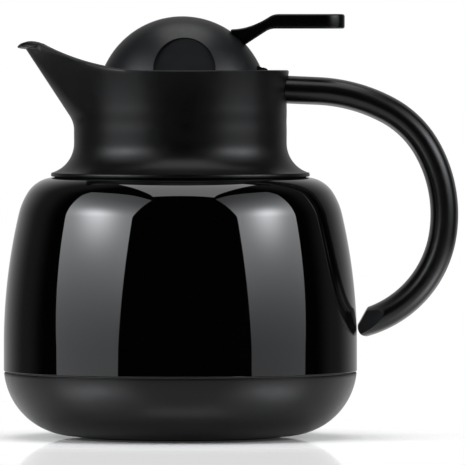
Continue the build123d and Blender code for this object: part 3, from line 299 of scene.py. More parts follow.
def spun_net(rows, columns, closed):
    """A tube of rows and columns spun from one upright line, ready to be put in place."""
    bm = bmesh.new()
    first = tip = bm.verts.new((1, 0, 0))
    for row in range(1, rows):
        tip = step_to(bm, tip, 1, row)
    if closed:
        bm.edges.new((tip, first))
    full_turn(bm, columns)
    return bm


def net_place(vert, columns):
    """Row and column of a net's point."""
    column = round(math.atan2(vert.co.y, vert.co.x) / (2 * math.pi) * columns) % columns
    return round(vert.co.z), column


def only(kind, geom):
    """The elements of one kind in some geometry."""
    return [part for part in geom if isinstance(part, kind)]


def mesh_from(bm, name):
    """Turn a bmesh into a mesh and free it."""
    mesh = bpy.data.meshes.new(name)
    bm.to_mesh(mesh)
    bm.free()
    return mesh


def solid_mesh(bm, name):
    """Face a closed mesh outwards and turn it into metres."""
    bmesh.ops.recalc_face_normals(bm, faces=bm.faces)
    bmesh.ops.scale(bm, vec=(MM, MM, MM), verts=bm.verts)
    return mesh_from(bm, name)


def placed(name, data):
    """An object of some data, linked to the scene."""
    obj = bpy.data.objects.new(name, data)
    bpy.context.scene.collection.objects.link(obj)
    return obj


def finish_piece(bm, name, node, body, slot, finish=None):
    """Merge and close a mesh and hang it on its body."""
    bmesh.ops.remove_doubles(bm, verts=bm.verts, dist=MERGE)
    return hang_piece(solid_mesh(bm, name), name, node, body, slot, finish)


def hang_piece(mesh, name, node, body, slot, finish=None, smooth_below=SMOOTH_BELOW):
    """Make an object of a mesh, smooth it up to an angle and put it on a CAD body."""
    mesh.shade_smooth()
    mesh.set_sharp_from_angle(angle=math.radians(smooth_below))
    mesh.materials.clear()
    mesh.materials.append(FINISHES[finish or slot])
    piece = placed(name, mesh)
    if body:
        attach(piece, body)
    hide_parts(node)
    return piece


def fitted_copy(node, name, body, slot, finish=None):
    """A merged and smoothed copy of a CAD node."""
    bm = bmesh.new()
    bm.from_mesh(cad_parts[node].data)
    bmesh.ops.remove_doubles(bm, verts=bm.verts, dist=CAD_MERGE * MM)
    return hang_piece(mesh_from(bm, name), name, node, body, slot, finish)


def carved(piece, cutters):
    """Cut tools out of a piece for good and throw the tools away."""
    for cutter in cutters:
        carve = piece.modifiers.new("carve", "BOOLEAN")
        carve.operation = "DIFFERENCE"
        carve.solver = "EXACT"
        carve.object = cutter
    bpy.context.view_layer.update()
    solid = piece.evaluated_get(bpy.context.evaluated_depsgraph_get())
    mesh = bpy.data.meshes.new_from_object(solid)
    piece.modifiers.clear()
    for cutter in cutters:
        bpy.data.objects.remove(cutter)
    return mesh


# Body outline

SIDE_CENTRE = (BODY_RADIUS - SIDE_ARC, SIDE_Z)
SHOULDER_CENTRE = polar(SIDE_CENTRE, SIDE_ARC - SHOULDER_ARC, SIDE_TURN)
CROWN_CENTRE = polar(SHOULDER_CENTRE, SHOULDER_ARC - CROWN_ARC, SHOULDER_TURN)
BASE_CENTRE = (BODY_RADIUS - BASE_ARC, BASE_ARC_Z)


def base_turn(inset, z):
    """Where the base arc, moved in by inset, passes a height, in degrees."""
    return math.degrees(math.asin((z - BASE_ARC_Z) / (BASE_ARC - inset)))


def cone_z(radius, inset=0.0):
    """Height of the nearly flat cone round the casing's mouth."""
    start = polar(CROWN_CENTRE, CROWN_ARC - inset, CROWN_TURN)
    share = (start[0] - radius) / (start[0] - MOUTH_RADIUS)
    return start[1] + (CASING_TOP_Z - inset - start[1]) * share


def casing_moves(wall, edge):
    """Closed outline of the casing's shell, with an eased lower edge."""
    bottom = SEAM_Z + SEAM_GAP / 2
    return [
        (BODY_RADIUS, bottom + edge), (BODY_RADIUS, SIDE_Z),
        (SIDE_CENTRE, SIDE_TURN, 26), (SHOULDER_CENTRE, SHOULDER_TURN - SIDE_TURN, 14),
        (CROWN_CENTRE, CROWN_TURN - SHOULDER_TURN, 20),
        (MOUTH_RADIUS, cone_z(MOUTH_RADIUS)), (MOUTH_RADIUS, cone_z(MOUTH_RADIUS, wall)),
        polar(CROWN_CENTRE, CROWN_ARC - wall, CROWN_TURN), (CROWN_CENTRE, SHOULDER_TURN - CROWN_TURN, 8),
        (SHOULDER_CENTRE, SIDE_TURN - SHOULDER_TURN, 6), (SIDE_CENTRE, -SIDE_TURN, 10),
        (BODY_RADIUS - wall, bottom + edge), (BODY_RADIUS - wall + edge, bottom),
        (BODY_RADIUS - edge, bottom),
    ]


def ring_moves(inner, outer, floor, low, high, heel, edge):
    """Closed outline of a flat ring with its outer corners cut off."""
    return [
        (inner, floor), (outer - edge, low), (outer, low + heel), (outer, high - edge),
        (outer - edge, high), (inner, high),
    ]


def cup_moves(edge):
    """Closed outline of the base cup with its panel, foot groove, upstand and socket."""
    top = SEAM_Z - SEAM_GAP / 2
    outer = base_turn(0, top - edge)
    floor_turn = base_turn(CUP_WALL, CUP_FLOOR_Z)
    inner_arc = BASE_ARC - CUP_WALL
    upstand_turn = -math.degrees(math.acos((UPSTAND_INNER - BASE_CENTRE[0]) / inner_arc))
    panel_z = UNDERSIDE_Z + CUP_PANEL_DEPTH
    groove_z = UNDERSIDE_Z + FOOT_GROOVE
    groove_inner, groove_outer = FOOT_RADIUS - FOOT_WIDTH / 2, FOOT_RADIUS + FOOT_WIDTH / 2
    outer_top = polar(BASE_CENTRE, BASE_ARC, outer)
    return [
        (0, panel_z), (CUP_PANEL_RADIUS - edge, panel_z), (CUP_PANEL_RADIUS + CUP_PANEL_DEPTH, UNDERSIDE_Z),
        (groove_inner, UNDERSIDE_Z), (groove_inner, groove_z), (groove_outer, groove_z),
        (groove_outer, UNDERSIDE_Z), (BASE_CENTRE[0], UNDERSIDE_Z), (BASE_CENTRE, 90 + outer, 36),
        *((outer_top[0] - edge * x, top - edge * z) for x, z in CUP_LIP),
        (UPSTAND_OUTER, top), (UPSTAND_OUTER, UPSTAND_TOP_Z), (UPSTAND_INNER, UPSTAND_TOP_Z),
        polar(BASE_CENTRE, inner_arc, upstand_turn), (BASE_CENTRE, floor_turn - upstand_turn, 12),
        (SOCKET_OUTER, CUP_FLOOR_Z), (SOCKET_OUTER, SOCKET_TOP_Z), (SOCKET_INNER, SOCKET_TOP_Z),
        (SOCKET_INNER, CUP_FLOOR_Z), (0, CUP_FLOOR_Z),
    ]


def foot_moves():
    """Closed outline of the rubber ring that the jug stands on."""
    half = FOOT_WIDTH / 2 - RING_CLEAR
    inner, outer, top = FOOT_RADIUS - half, FOOT_RADIUS + half, UNDERSIDE_Z + FOOT_GROOVE
    return [
        (inner, FOOT_ROUND), ((inner + FOOT_ROUND, FOOT_ROUND), 90, 4), (outer - FOOT_ROUND, 0),
        ((outer - FOOT_ROUND, FOOT_ROUND), 90, 4), (outer, top), (inner, top),
    ]


# Collar outline

LEAN = math.radians(SPOUT_LEAN)
FLARE_CENTRE_X = NECK_RADIUS + FLARE_ARC
FLARE_Z = FLANGE_Z + FLANGE_EDGE + arc_height(FLARE_ARC, FLARE_CENTRE_X - FLANGE_RADIUS)
SPOUT_RISE = (SPOUT_REACH - NECK_RADIUS) / math.tan(LEAN)
SPOUT_ROOT_Z = SPOUT_END_Z - SPOUT_RISE - SPOUT_ROOT_ARC * math.tan(LEAN / 2)
SPOUT_LINE_Z = SPOUT_ROOT_Z + SPOUT_ROOT_ARC * math.sin(LEAN)


def neck_radius(z):
    """The neck swells a little towards the rim and has faint sink bands lower down."""
    rise = max(0.0, z - NECK_SWELL_Z) / (RIM_Z - NECK_SWELL_Z)
    low, high = NECK_SINK_ENDS
    share = min(max((z - low) / (high - low), 0.0), 1.0)
    wave = math.sin(math.pi * share) * math.sin(2 * math.pi * (z - NECK_SINK_Z) / NECK_SINK_PITCH)
    return NECK_RADIUS + NECK_SWELL * min(rise, 1.0) ** 2 - NECK_SINK * wave


def spout_reach(z):
    """How far forward the spout's front line is at a height."""
    if z < SPOUT_LINE_Z:
        return NECK_RADIUS + SPOUT_ROOT_ARC - arc_height(SPOUT_ROOT_ARC, z - SPOUT_ROOT_Z)
    return SPOUT_REACH - (SPOUT_END_Z - z) * math.tan(LEAN)


def spout_nose(z):
    """The nose's radius in plan at a height."""
    climb = min(1.0, (z - SPOUT_ROOT_Z) / (SPOUT_END_Z - SPOUT_ROOT_Z))
    return SPOUT_NOSE + (NECK_RADIUS - SPOUT_NOSE) * (1 - climb) ** SPOUT_TAPER


def eased(value, span):
    """Nought below -span, the value itself above span, and a smooth run between them."""
    if span <= 0 or value <= -span:
        return max(0.0, value)
    if value >= span:
        return value
    share = value / span
    return span * (1 + share) ** 3 * (3 - share) / 16


def wall_radius(away, z, inset):
    """Distance of the collar's wall from the axis: the neck's circle drawn out to the nose."""
    main = neck_radius(z) - inset
    if z <= SPOUT_ROOT_Z + SPOUT_FOOT:
        return main
    away = abs(away)
    nose = spout_nose(z) - inset
    centre = spout_reach(z) - inset - nose
    touch = math.acos(min(1.0, (main - nose) / centre))
    leave = math.atan2(nose * math.sin(touch), centre + nose * math.cos(touch))
    if away >= leave:
        return main / math.cos(eased(touch - away, min(SPOUT_EASE, NEARLY * (touch - leave))))
    return centre * math.cos(away) + arc_height(nose, centre * math.sin(away))


def rim_line(x):
    """Height of the rim seen from the side: level behind, swept up along the spout."""
    sweep_end = polar((RIM_SWEEP_X, RIM_Z + RIM_SWEEP_ARC), RIM_SWEEP_ARC, 270 - RIM_SWEEP_TURN)
    if x >= sweep_end[0]:
        return RIM_Z + RIM_SWEEP_ARC - arc_height(RIM_SWEEP_ARC, min(0.0, x - RIM_SWEEP_X))
    top = polar(sweep_end, LIP_TOP_ARC, 270 - RIM_SWEEP_TURN)
    if x >= top[0]:
        return top[1] + arc_height(LIP_TOP_ARC, x - top[0])
    front = min(top[0] - x, LIP_FRONT_ARC * NEARLY)
    return top[1] + LIP_TOP_ARC - LIP_FRONT_ARC + arc_height(LIP_FRONT_ARC, front)


def rim_height(away):
    """Height of the rim on one column of the collar."""
    z = RIM_Z
    for _ in range(RIM_ROUNDS):
        z = rim_line(-wall_radius(away, z, COLLAR_WALL / 2) * math.cos(away))
    return z


def lip_overhang(away, z):
    """How far the drip lip stands out of the wall on one column."""
    centre = LIP_REACH - LIP_NOSE
    if abs(away) >= math.asin(LIP_NOSE / centre):
        return 0.0
    disc = centre * math.cos(away) + arc_height(LIP_NOSE, centre * math.sin(away))
    return max(0.0, disc - wall_radius(away, z, 0))


def mixed(a, b, share):
    """Part way between two numbers or places."""
    if isinstance(a, tuple):
        return tuple(mixed(p, q, share) for p, q in zip(a, b))
    return a + (b - a) * share


def collar_column(away, rim_round):
    """The (radius, height) points of one column of the collar, once round its section."""
    flange_top = FLANGE_Z + FLANGE_EDGE
    start = 180 + math.degrees(math.atan2(FLARE_Z - flange_top, FLARE_CENTRE_X - FLANGE_RADIUS))
    skirt = FLANGE_RADIUS - FLANGE_SKIRT
    recess_z = FLANGE_Z + FLANGE_RECESS
    turn_z = recess_z + COLLAR_WALL
    inner_neck = NECK_RADIUS - COLLAR_WALL
    points = [(FLANGE_RADIUS + x, FLANGE_Z + z) for x, z in FLANGE_FOOT]
    points += [(FLANGE_RADIUS + x, flange_top + z) for x, z in FLANGE_HEAD]
    points += [polar((FLARE_CENTRE_X, FLARE_Z), FLARE_ARC, start + (180 - start) * i / FLARE_ROWS)
               for i in range(FLARE_ROWS + 1)]
    top = rim_height(away)
    over = lip_overhang(away, top - LIP_DROP)
    share = min(1.0, over / (LIP_REACH - wall_radius(0, rim_height(0) - LIP_DROP, 0)))
    share = share * share * (3 - 2 * share)
    wall_end = top - mixed(rim_round, LIP_DROP, share)
    for i in range(1, WALL_ROWS + 1):
        z = FLARE_Z + (wall_end - FLARE_Z) * i / WALL_ROWS
        points.append((wall_radius(away, z, 0), z))
    outer = points[-1][0]
    edge = wall_radius(away, top, 0)
    inner_edge = wall_radius(away, top, COLLAR_WALL)
    plain = [(edge - x, top - rim_round * down) for x, down in RIM_OUTSIDE]
    plain.append(((edge + inner_edge) / 2, top + RIM_CROWN))
    plain += [(inner_edge + x, top - rim_round * down) for x, down in RIM_INSIDE]
    rolled = [(outer + over * part - back, wall_end + up) for part, back, up in LIP_ROLL]
    rolled.append((inner_edge + LIP_INSIDE[0], top - LIP_INSIDE[1]))
    points += [mixed(a, b, share) for a, b in zip(plain, rolled)]
    inner_end = top - rim_round * RIM_INNER_END
    for i in range(INNER_ROWS + 1):
        z = inner_end + (FLARE_Z - inner_end) * i / INNER_ROWS
        points.append((wall_radius(away, z, COLLAR_WALL), z))
    points += [
        (inner_neck, turn_z + inner_neck - COLLAR_BORE), (COLLAR_BORE, turn_z), (COLLAR_BORE, recess_z),
        (skirt - FLANGE_SKIRT_ROUND, recess_z), (skirt, recess_z - FLANGE_SKIRT_ROUND), (skirt, FLANGE_Z),
    ]
    return points


def collar_mesh(rim_round):
    """The collar: a net whose columns crowd at the spout's nose, each put on its own outline."""
    outlines = []
    for column in range(COLLAR_COLUMNS):
        even = 2 * math.pi * column / COLLAR_COLUMNS - math.pi
        away = even - NOSE_CROWD * math.sin(even)
        outlines.append((away, collar_column(away, rim_round)))
    bm = spun_net(len(outlines[0][1]), COLLAR_COLUMNS, closed=True)
    for vert in bm.verts:
        row, column = net_place(vert, COLLAR_COLUMNS)
        away, points = outlines[column]
        radius, z = points[row]
        vert.co = (-radius * math.cos(away), radius * math.sin(away), z)
    return bm


# Lid and lever

def dome_z(x, y, radius=DOME_RADIUS):
    """Height of the dome's ball over a place in plan."""
    return DOME_CENTRE_Z + arc_height(radius, x - DOME_X, y)


def ball_cap(radius, bottom, rows, name):
    """A solid cap of the dome's ball above a level, its lower edge rounded."""
    centre = (0, DOME_CENTRE_Z)
    edge = DOME_EDGE_ROUND
    start = math.degrees(math.asin((bottom + edge - DOME_CENTRE_Z) / radius))
    low = polar(centre, radius, start)
    bm = turned([
        (0, DOME_CENTRE_Z + radius), (centre, start - 90, rows),
        *((low[0] - edge * x, bottom + edge * z) for x, z in DOME_LIP), (0, bottom),
    ], DOME_COLUMNS)
    bmesh.ops.remove_doubles(bm, verts=bm.verts, dist=MERGE)
    bmesh.ops.translate(bm, vec=(DOME_X, 0, 0), verts=bm.verts)
    return placed(name, solid_mesh(bm, name))


def grip_tool(side, sunk):
    """Cutting drum for one finger flat, its leaning end face sunk that much more."""
    top_z = GRIP_Z + GRIP_RADIUS
    top_y = arc_height(DOME_RADIUS, top_z - DOME_CENTRE_Z, GRIP_X - DOME_X) - GRIP_DEPTH - sunk
    bm = bmesh.new()
    across = Matrix.Translation((GRIP_X, side * GRIP_DRUM_Y, GRIP_Z)) @ Matrix.Rotation(math.pi / 2, 4, "X")
    bmesh.ops.create_cone(
        bm, cap_ends=True, segments=GRIP_STEPS, radius1=GRIP_RADIUS, radius2=GRIP_RADIUS,
        depth=GRIP_DRUM_LENGTH, matrix=across,
    )
    for vert in bm.verts:
        if abs(vert.co.y) < GRIP_DRUM_Y:
            vert.co.y = side * (top_y + (top_z - vert.co.z) * math.tan(math.radians(GRIP_TILT)))
    return placed("grip_tool", solid_mesh(bm, "grip_tool"))


def notch_tool():
    """Cutting block for the hinge notch in the dome's edge."""
    bm = bmesh.new()
    middle = Matrix.Translation((NOTCH_FRONT_X + NOTCH_LENGTH / 2, 0, NOTCH_TOP_Z - NOTCH_HEIGHT / 2))
    size = Matrix.Diagonal((NOTCH_LENGTH, 2 * NOTCH_HALF_WIDTH, NOTCH_HEIGHT, 1))
    bmesh.ops.create_cube(bm, size=1, matrix=middle @ size)
    return placed("notch_tool", solid_mesh(bm, "notch_tool"))


def dome_mesh():
    """The dome's shell with its finger flats, its wall even behind them, and its hinge notch."""
    hollow = ball_cap(DOME_RADIUS - DOME_WALL, DOME_EDGE_Z - HOLLOW_DROP, DOME_ROWS // 2, "hollow_tool")
    old = hollow.data
    hollow.data = carved(hollow, [grip_tool(side, DOME_WALL) for side in (-1, 1)])
    bpy.data.meshes.remove(old)
    blank = ball_cap(DOME_RADIUS, DOME_EDGE_Z, DOME_ROWS, "dome_blank")
    mesh = carved(blank, [grip_tool(-1, 0), grip_tool(1, 0), hollow, notch_tool()])
    bpy.data.objects.remove(blank)
    return mesh


def add_knuckle(bm, side):
    """One hinge knuckle: a bored barrel and the web that ties it to the dome."""
    before = set(bm.verts)
    low, high = side * KNUCKLE_Y - KNUCKLE_WIDTH / 2, side * KNUCKLE_Y + KNUCKLE_WIDTH / 2
    corners = [(PIN_BORE, low), (BARREL_RADIUS, low), (BARREL_RADIUS, high), (PIN_BORE, high)]
    verts = [bm.verts.new((HINGE_X + r, y, HINGE_Z)) for r, y in corners]
    edges = [bm.edges.new((verts[i], verts[(i + 1) % 4])) for i in range(4)]
    sweep_round(bm, verts + edges, (HINGE_X, 0, HINGE_Z), 360, KNUCKLE_STEPS, axis=(0, 1, 0), closed=True)
    face = bm.faces.new([bm.verts.new((x, low, z)) for x, z in KNUCKLE_WEB])
    out = bmesh.ops.extrude_face_region(bm, geom=[face])["geom"]
    bmesh.ops.translate(bm, vec=(0, KNUCKLE_WIDTH, 0), verts=only(VERT, out))
    added = [v for v in bm.verts if v not in before]
    bmesh.ops.scale(bm, vec=(MM, MM, MM), verts=added)
    faces = {f for v in added for f in v.link_faces}
    bmesh.ops.recalc_face_normals(bm, faces=list(faces))


def lever_heights(x, y):
    """Top and underside of the lever at a place in plan."""
    slope = math.radians(LEVER_SLOPE)
    steep = math.tan(slope)
    knee = polar((LEVER_ELBOW_X, LEVER_TOP_Z - LEVER_ELBOW_ARC), LEVER_ELBOW_ARC, 90 + LEVER_SLOPE)
    if x < knee[0]:
        root_z = dome_z(LEVER_ROOT_X, 0) + LEVER_ROOT_RISE
        run = knee[0] - LEVER_ROOT_X
        share = (x - LEVER_ROOT_X) / run
        start = 2 * (knee[1] - root_z) / run - steep
        top = root_z + run * (start * share + (steep - start) * share**2 / 2)
    else:
        top = LEVER_TOP_Z - LEVER_ELBOW_ARC + arc_height(LEVER_ELBOW_ARC, min(0.0, x - LEVER_ELBOW_X))
    low = LEVER_TOP_Z - LEVER_THICKNESS
    heel_z = dome_z(LEVER_HEEL_X, 0)
    knee_x = LEVER_HEEL_X + (low - heel_z) / steep
    bend = LEVER_ELBOW_ARC * math.tan(slope / 2)
    if x < knee_x - bend * math.cos(slope):
        under = heel_z + (x - LEVER_HEEL_X) * steep
    else:
        under = low - LEVER_ELBOW_ARC + arc_height(LEVER_ELBOW_ARC, min(0.0, x - knee_x - bend))
    if math.hypot(x - DOME_X, y) < DOME_RADIUS + SEAT_GAP:
        under = max(under, dome_z(x, y, DOME_RADIUS + SEAT_GAP))
    return top, under


def lever_plan(column):
    """A point of the lever's plan outline and the point of its middle line next to it."""
    half_root, half_pad = LEVER_ROOT_WIDTH / 2, LEVER_PAD_WIDTH / 2
    pad_x = LEVER_END_X - half_pad
    half = LEVER_COLUMNS // 2
    side = 1 if column <= half else -1
    step = (column if column <= half else LEVER_COLUMNS - column) / half
    if step < LEVER_ROOT_SHARE:
        place = (LEVER_ROOT_X, half_root * step / LEVER_ROOT_SHARE)
    elif step < LEVER_SIDE_SHARE:
        share = (step - LEVER_ROOT_SHARE) / (LEVER_SIDE_SHARE - LEVER_ROOT_SHARE)
        place = mixed((LEVER_ROOT_X, half_root), (pad_x, half_pad), share)
    else:
        share = (step - LEVER_SIDE_SHARE) / (1 - LEVER_SIDE_SHARE)
        place = polar((pad_x, 0), half_pad, 90 * (1 - share))
    middle_x = min(max(place[0], LEVER_ROOT_X + half_root), pad_x)
    return (place[0], side * place[1]), (middle_x, 0.0)


def lever_mesh():
    """The lever: rings of its plan outline, drawn in to its middle line."""
    rings = [(inset, 0.0, drop) for inset, drop in LEVER_EDGE]
    rings += [(1.0, inward, 0.0) for inward in LEVER_INNER_RINGS]
    bm = spun_net(2 * len(rings), LEVER_COLUMNS, closed=False)
    for vert in bm.verts:
        row, column = net_place(vert, LEVER_COLUMNS)
        on_top = row >= len(rings)
        inset, inward, drop = rings[row - len(rings) if on_top else len(rings) - 1 - row]
        outline, middle = lever_plan(column)
        share = mixed(LEVER_ROUND * inset / math.dist(outline, middle), 1.0, inward)
        x, y = mixed(outline, middle, min(share, 1.0))
        top, under = lever_heights(x, y)
        fall = min(LEVER_ROUND, max(LEVER_THINNEST, top - under) / 2) * drop
        if on_top:
            vert.co = (x, y, max(top - fall, under + LEVER_THINNEST / 2))
        else:
            vert.co = (x, y, min(under + fall, top - LEVER_THINNEST / 2))
    return bm


# Handle

END_LEAN = math.radians(HANDLE_END_LEAN)
END_FACET = math.radians(HANDLE_END_FACET)
FACET_Y = HANDLE_WIDTH / 2 - HANDLE_END_NARROW
FACET_WAY = (
    -math.sin(END_FACET) * math.cos(END_LEAN), math.cos(END_FACET), math.sin(END_FACET) * math.sin(END_LEAN)
)


def handle_ring(bm):
    """The handle's crowned oval section, standing at the root and square to its path."""
    half, edge = HANDLE_THICKNESS / 2, HANDLE_SIDE_ROUND
    offset = HANDLE_WIDTH / 2 - edge
    crown = (offset**2 + half**2 - edge**2) / (2 * (half - edge))
    drop = crown - half
    spread = math.degrees(math.atan2(offset, drop))
    tip = bm.verts.new((0, *polar((0, -drop), crown, 90 - spread)))
    for side in (1, -1):
        for y, z, degrees in ((0, -side * drop, 2 * spread), (-side * offset, 0, 180 - 2 * spread)):
            tip = sweep_round(bm, [tip], (0, y, z), degrees, HANDLE_COLUMNS // 4, axis=(1, 0, 0))[0]
    bmesh.ops.remove_doubles(bm, verts=bm.verts, dist=CAD_MERGE)
    slope = Matrix.Rotation(math.radians(HANDLE_SLOPE), 3, "Y")
    bmesh.ops.rotate(bm, cent=(0, 0, 0), matrix=slope, verts=bm.verts)
    bmesh.ops.translate(bm, vec=(HANDLE_START_X, 0, HANDLE_Z), verts=bm.verts)


def cut_flat(bm, point, out):
    """Cut off what the handle's lower part has beyond a plane and close the cut."""
    low = [face for face in bm.faces if face.calc_center_median().z < HANDLE_CUT_BELOW]
    geom = {part for face in low for part in (face, *face.edges, *face.verts)}
    cut = bmesh.ops.bisect_plane(
        bm, geom=list(geom), dist=CUT_MERGE, plane_co=point, plane_no=out, clear_outer=True,
    )["geom_cut"]
    edges = [edge for edge in only(EDGE, cut) if edge.is_boundary]
    if edges:
        bmesh.ops.holes_fill(bm, edges=edges, sides=0)


def handle_mesh():
    """The handle: its section extruded along the root and spun through four arcs, its end cut."""
    bm = bmesh.new()
    handle_ring(bm)
    root = bm.verts[:]
    heading = -HANDLE_SLOPE
    end = polar((HANDLE_START_X, HANDLE_Z), HANDLE_ROOT, heading)
    ring = bmesh.ops.extrude_edge_only(bm, edges=bm.edges[:])["geom"]
    bmesh.ops.translate(bm, vec=(end[0] - HANDLE_START_X, 0, end[1] - HANDLE_Z), verts=only(VERT, ring))
    for radius, degrees in HANDLE_ARCS:
        centre = polar(end, radius, heading - 90)
        ring = sweep_round(bm, only((VERT, EDGE), ring), (centre[0], 0, centre[1]), degrees,
                           round(degrees / HANDLE_STEP), axis=(0, 1, 0))
        heading -= degrees
        end = polar(centre, radius, heading + 90)
    for vert in root:
        vert.co.x = arc_height(neck_radius(vert.co.z) + SEAT_GAP, vert.co.y)
    bmesh.ops.holes_fill(bm, edges=[e for e in bm.edges if e.is_boundary], sides=0)
    cut_flat(bm, (HANDLE_END_X, 0, HANDLE_END_Z), (-math.cos(END_LEAN), 0, math.sin(END_LEAN)))
    cut_flat(bm, (HANDLE_END_X, 0, 0), (-1, 0, 0))
    for degrees in HANDLE_NOSE_CUTS:
        touch = polar((HANDLE_END_X + HANDLE_NOSE, HANDLE_NOSE_Z), HANDLE_NOSE, degrees)
        way = polar((0, 0), 1, degrees)
        cut_flat(bm, (touch[0], 0, touch[1]), (way[0], 0, way[1]))
    for side in (-1, 1):
        cut_flat(bm, (HANDLE_END_X, side * FACET_Y, HANDLE_END_Z),
                 (FACET_WAY[0], side * FACET_WAY[1], FACET_WAY[2]))
    return bm


# Finishes

FINISHES = {}
NOISE_LOW = 0.3  # a noise stays mostly between this and its counterpart below 1


class Graph:
    """The node tree of a material, lamp or world, with short names for the steps they share."""

    def __init__(self, owner):
        owner.use_nodes = True
        self.nodes, self.links = owner.node_tree.nodes, owner.node_tree.links

    def add(self, kind, output, inputs, **choices):
        """Add a node with its choices and its inputs, values or sockets, and give one output."""
        node = self.nodes.new("ShaderNode" + kind)
        for name, value in choices.items():
            setattr(node, name, value)
        for name, value in inputs.items():
            if isinstance(value, bpy.types.NodeSocket):
                self.links.new(value, node.inputs[name])
            else:
                node.inputs[name].default_value = value
        return node.outputs[output]

    def math(self, operation, *values):
        """One step of sums, its inputs numbers or sockets."""
        return self.add("Math", "Value", dict(enumerate(values)), operation=operation)

    def paint(self, share, start, end):
        """Mix two colours by a share."""
        return self.add("Mix", "Result", {"Factor": share, "A": start, "B": end}, data_type="RGBA")

    def ramp(self, value, low, high, top):
        """Rise softly from 0 at low to top at high."""
        inputs = {"Value": value, "From Min": low, "From Max": high, "To Max": top}
        return self.add("MapRange", "Result", inputs, interpolation_type="SMOOTHSTEP")

    def axes(self, source, output):
        """The three parts of a vector that a source node gives."""
        split = self.nodes.new("ShaderNodeSeparateXYZ")
        self.links.new(self.add(source, output, {}), split.inputs["Vector"])
        return split.outputs

    def noise(self, scale, detail, rough=0.5, stretch=None):
        """A noise over the piece, its scale in features per metre."""
        place = self.add("TexCoord", "Object", {})
        if stretch:
            place = self.add("Mapping", "Vector", {"Vector": place, "Scale": stretch})
        inputs = {"Scale": scale, "Detail": detail, "Roughness": rough, "Vector": place}
        return self.add("TexNoise", "Fac", inputs)


def scaled(colour, factor):
    """A colour made lighter or darker."""
    return tuple(min(1.0, channel * factor) for channel in colour)


def clouded(name, colour, tint, haze, relief, **plain):
    """A material with a clouded colour, a clouded roughness and a fine relief.

    tint holds a noise and two factors of the colour, haze a noise and two roughnesses, and relief a
    noise, a depth in metres and a strength. plain holds the values that are even all over."""
    material = bpy.data.materials.new(name)
    graph = Graph(material)
    surface = graph.nodes["Principled BSDF"].inputs
    for socket, value in plain.items():
        surface[socket.replace("_", " ")].default_value = value
    noise, dark, light = tint
    shades = [(*scaled(colour, factor), 1) for factor in (dark, light)]
    graph.links.new(graph.paint(graph.noise(*noise), *shades), surface["Base Color"])
    if haze:
        noise, low, high = haze
        inputs = {"Value": graph.noise(*noise), "From Min": NOISE_LOW, "From Max": 1 - NOISE_LOW}
        inputs.update({"To Min": low, "To Max": high})
        graph.links.new(graph.add("MapRange", "Result", inputs), surface["Roughness"])
    noise, depth, strength = relief
    inputs = {"Distance": depth, "Strength": strength, "Height": graph.noise(*noise)}
    graph.links.new(graph.add("Bump", "Normal", inputs), surface["Normal"])
    return material


def moulding(name, colour, rough, grain, depth, ior=1.5):
    """Moulded plastic with a fine etched grain."""
    return clouded(name, colour, ((14, 4), 0.88, 1.12), ((260, 5), rough * 0.94, rough * 1.06),
                   ((grain, 4, 0.65), depth, 0.5), IOR=ior)


def steel(name, colour):
    """Plain steel with drawing marks along it."""
    streaks = (900, 4, 0.6, (0.1, 1.0, 1.0))
    return clouded(name, colour, ((200, 4), 0.85, 1.1), (streaks, 0.22, 0.42), (streaks, 0.00002, 0.35),
                   Metallic=1.0)


def paint_facet_light(material, colour):
    """Paint light onto the facets of the handle's free end: their paler colour is a painted highlight that
    stands in for the light they catch.
    """
    graph = Graph(material)
    base = graph.nodes["Principled BSDF"].inputs["Base Color"]
    axes = graph.axes("TexCoord", "Object")
    out = graph.math("MULTIPLY", graph.math("ABSOLUTE", axes["Y"]), FACET_WAY[1])
    for axis, share in (("X", FACET_WAY[0]), ("Z", FACET_WAY[2])):
        out = graph.math("ADD", out, graph.math("MULTIPLY", axes[axis], share))
    reach = sum(a * b for a, b in zip(FACET_WAY, (HANDLE_END_X, FACET_Y, HANDLE_END_Z))) - FACET_SKIN
    # Mask of the end facets that get the painted highlight.
    cut = graph.math("GREATER_THAN", out, reach * MM)
    low = graph.math("LESS_THAN", axes["Z"], HANDLE_CUT_BELOW * MM)
    share = graph.math("MULTIPLY", cut, low)
    # Mix the painted highlight colour in over the facets.
    graph.links.new(graph.paint(share, base.links[0].from_socket, (*colour, 1)), base)
    return material


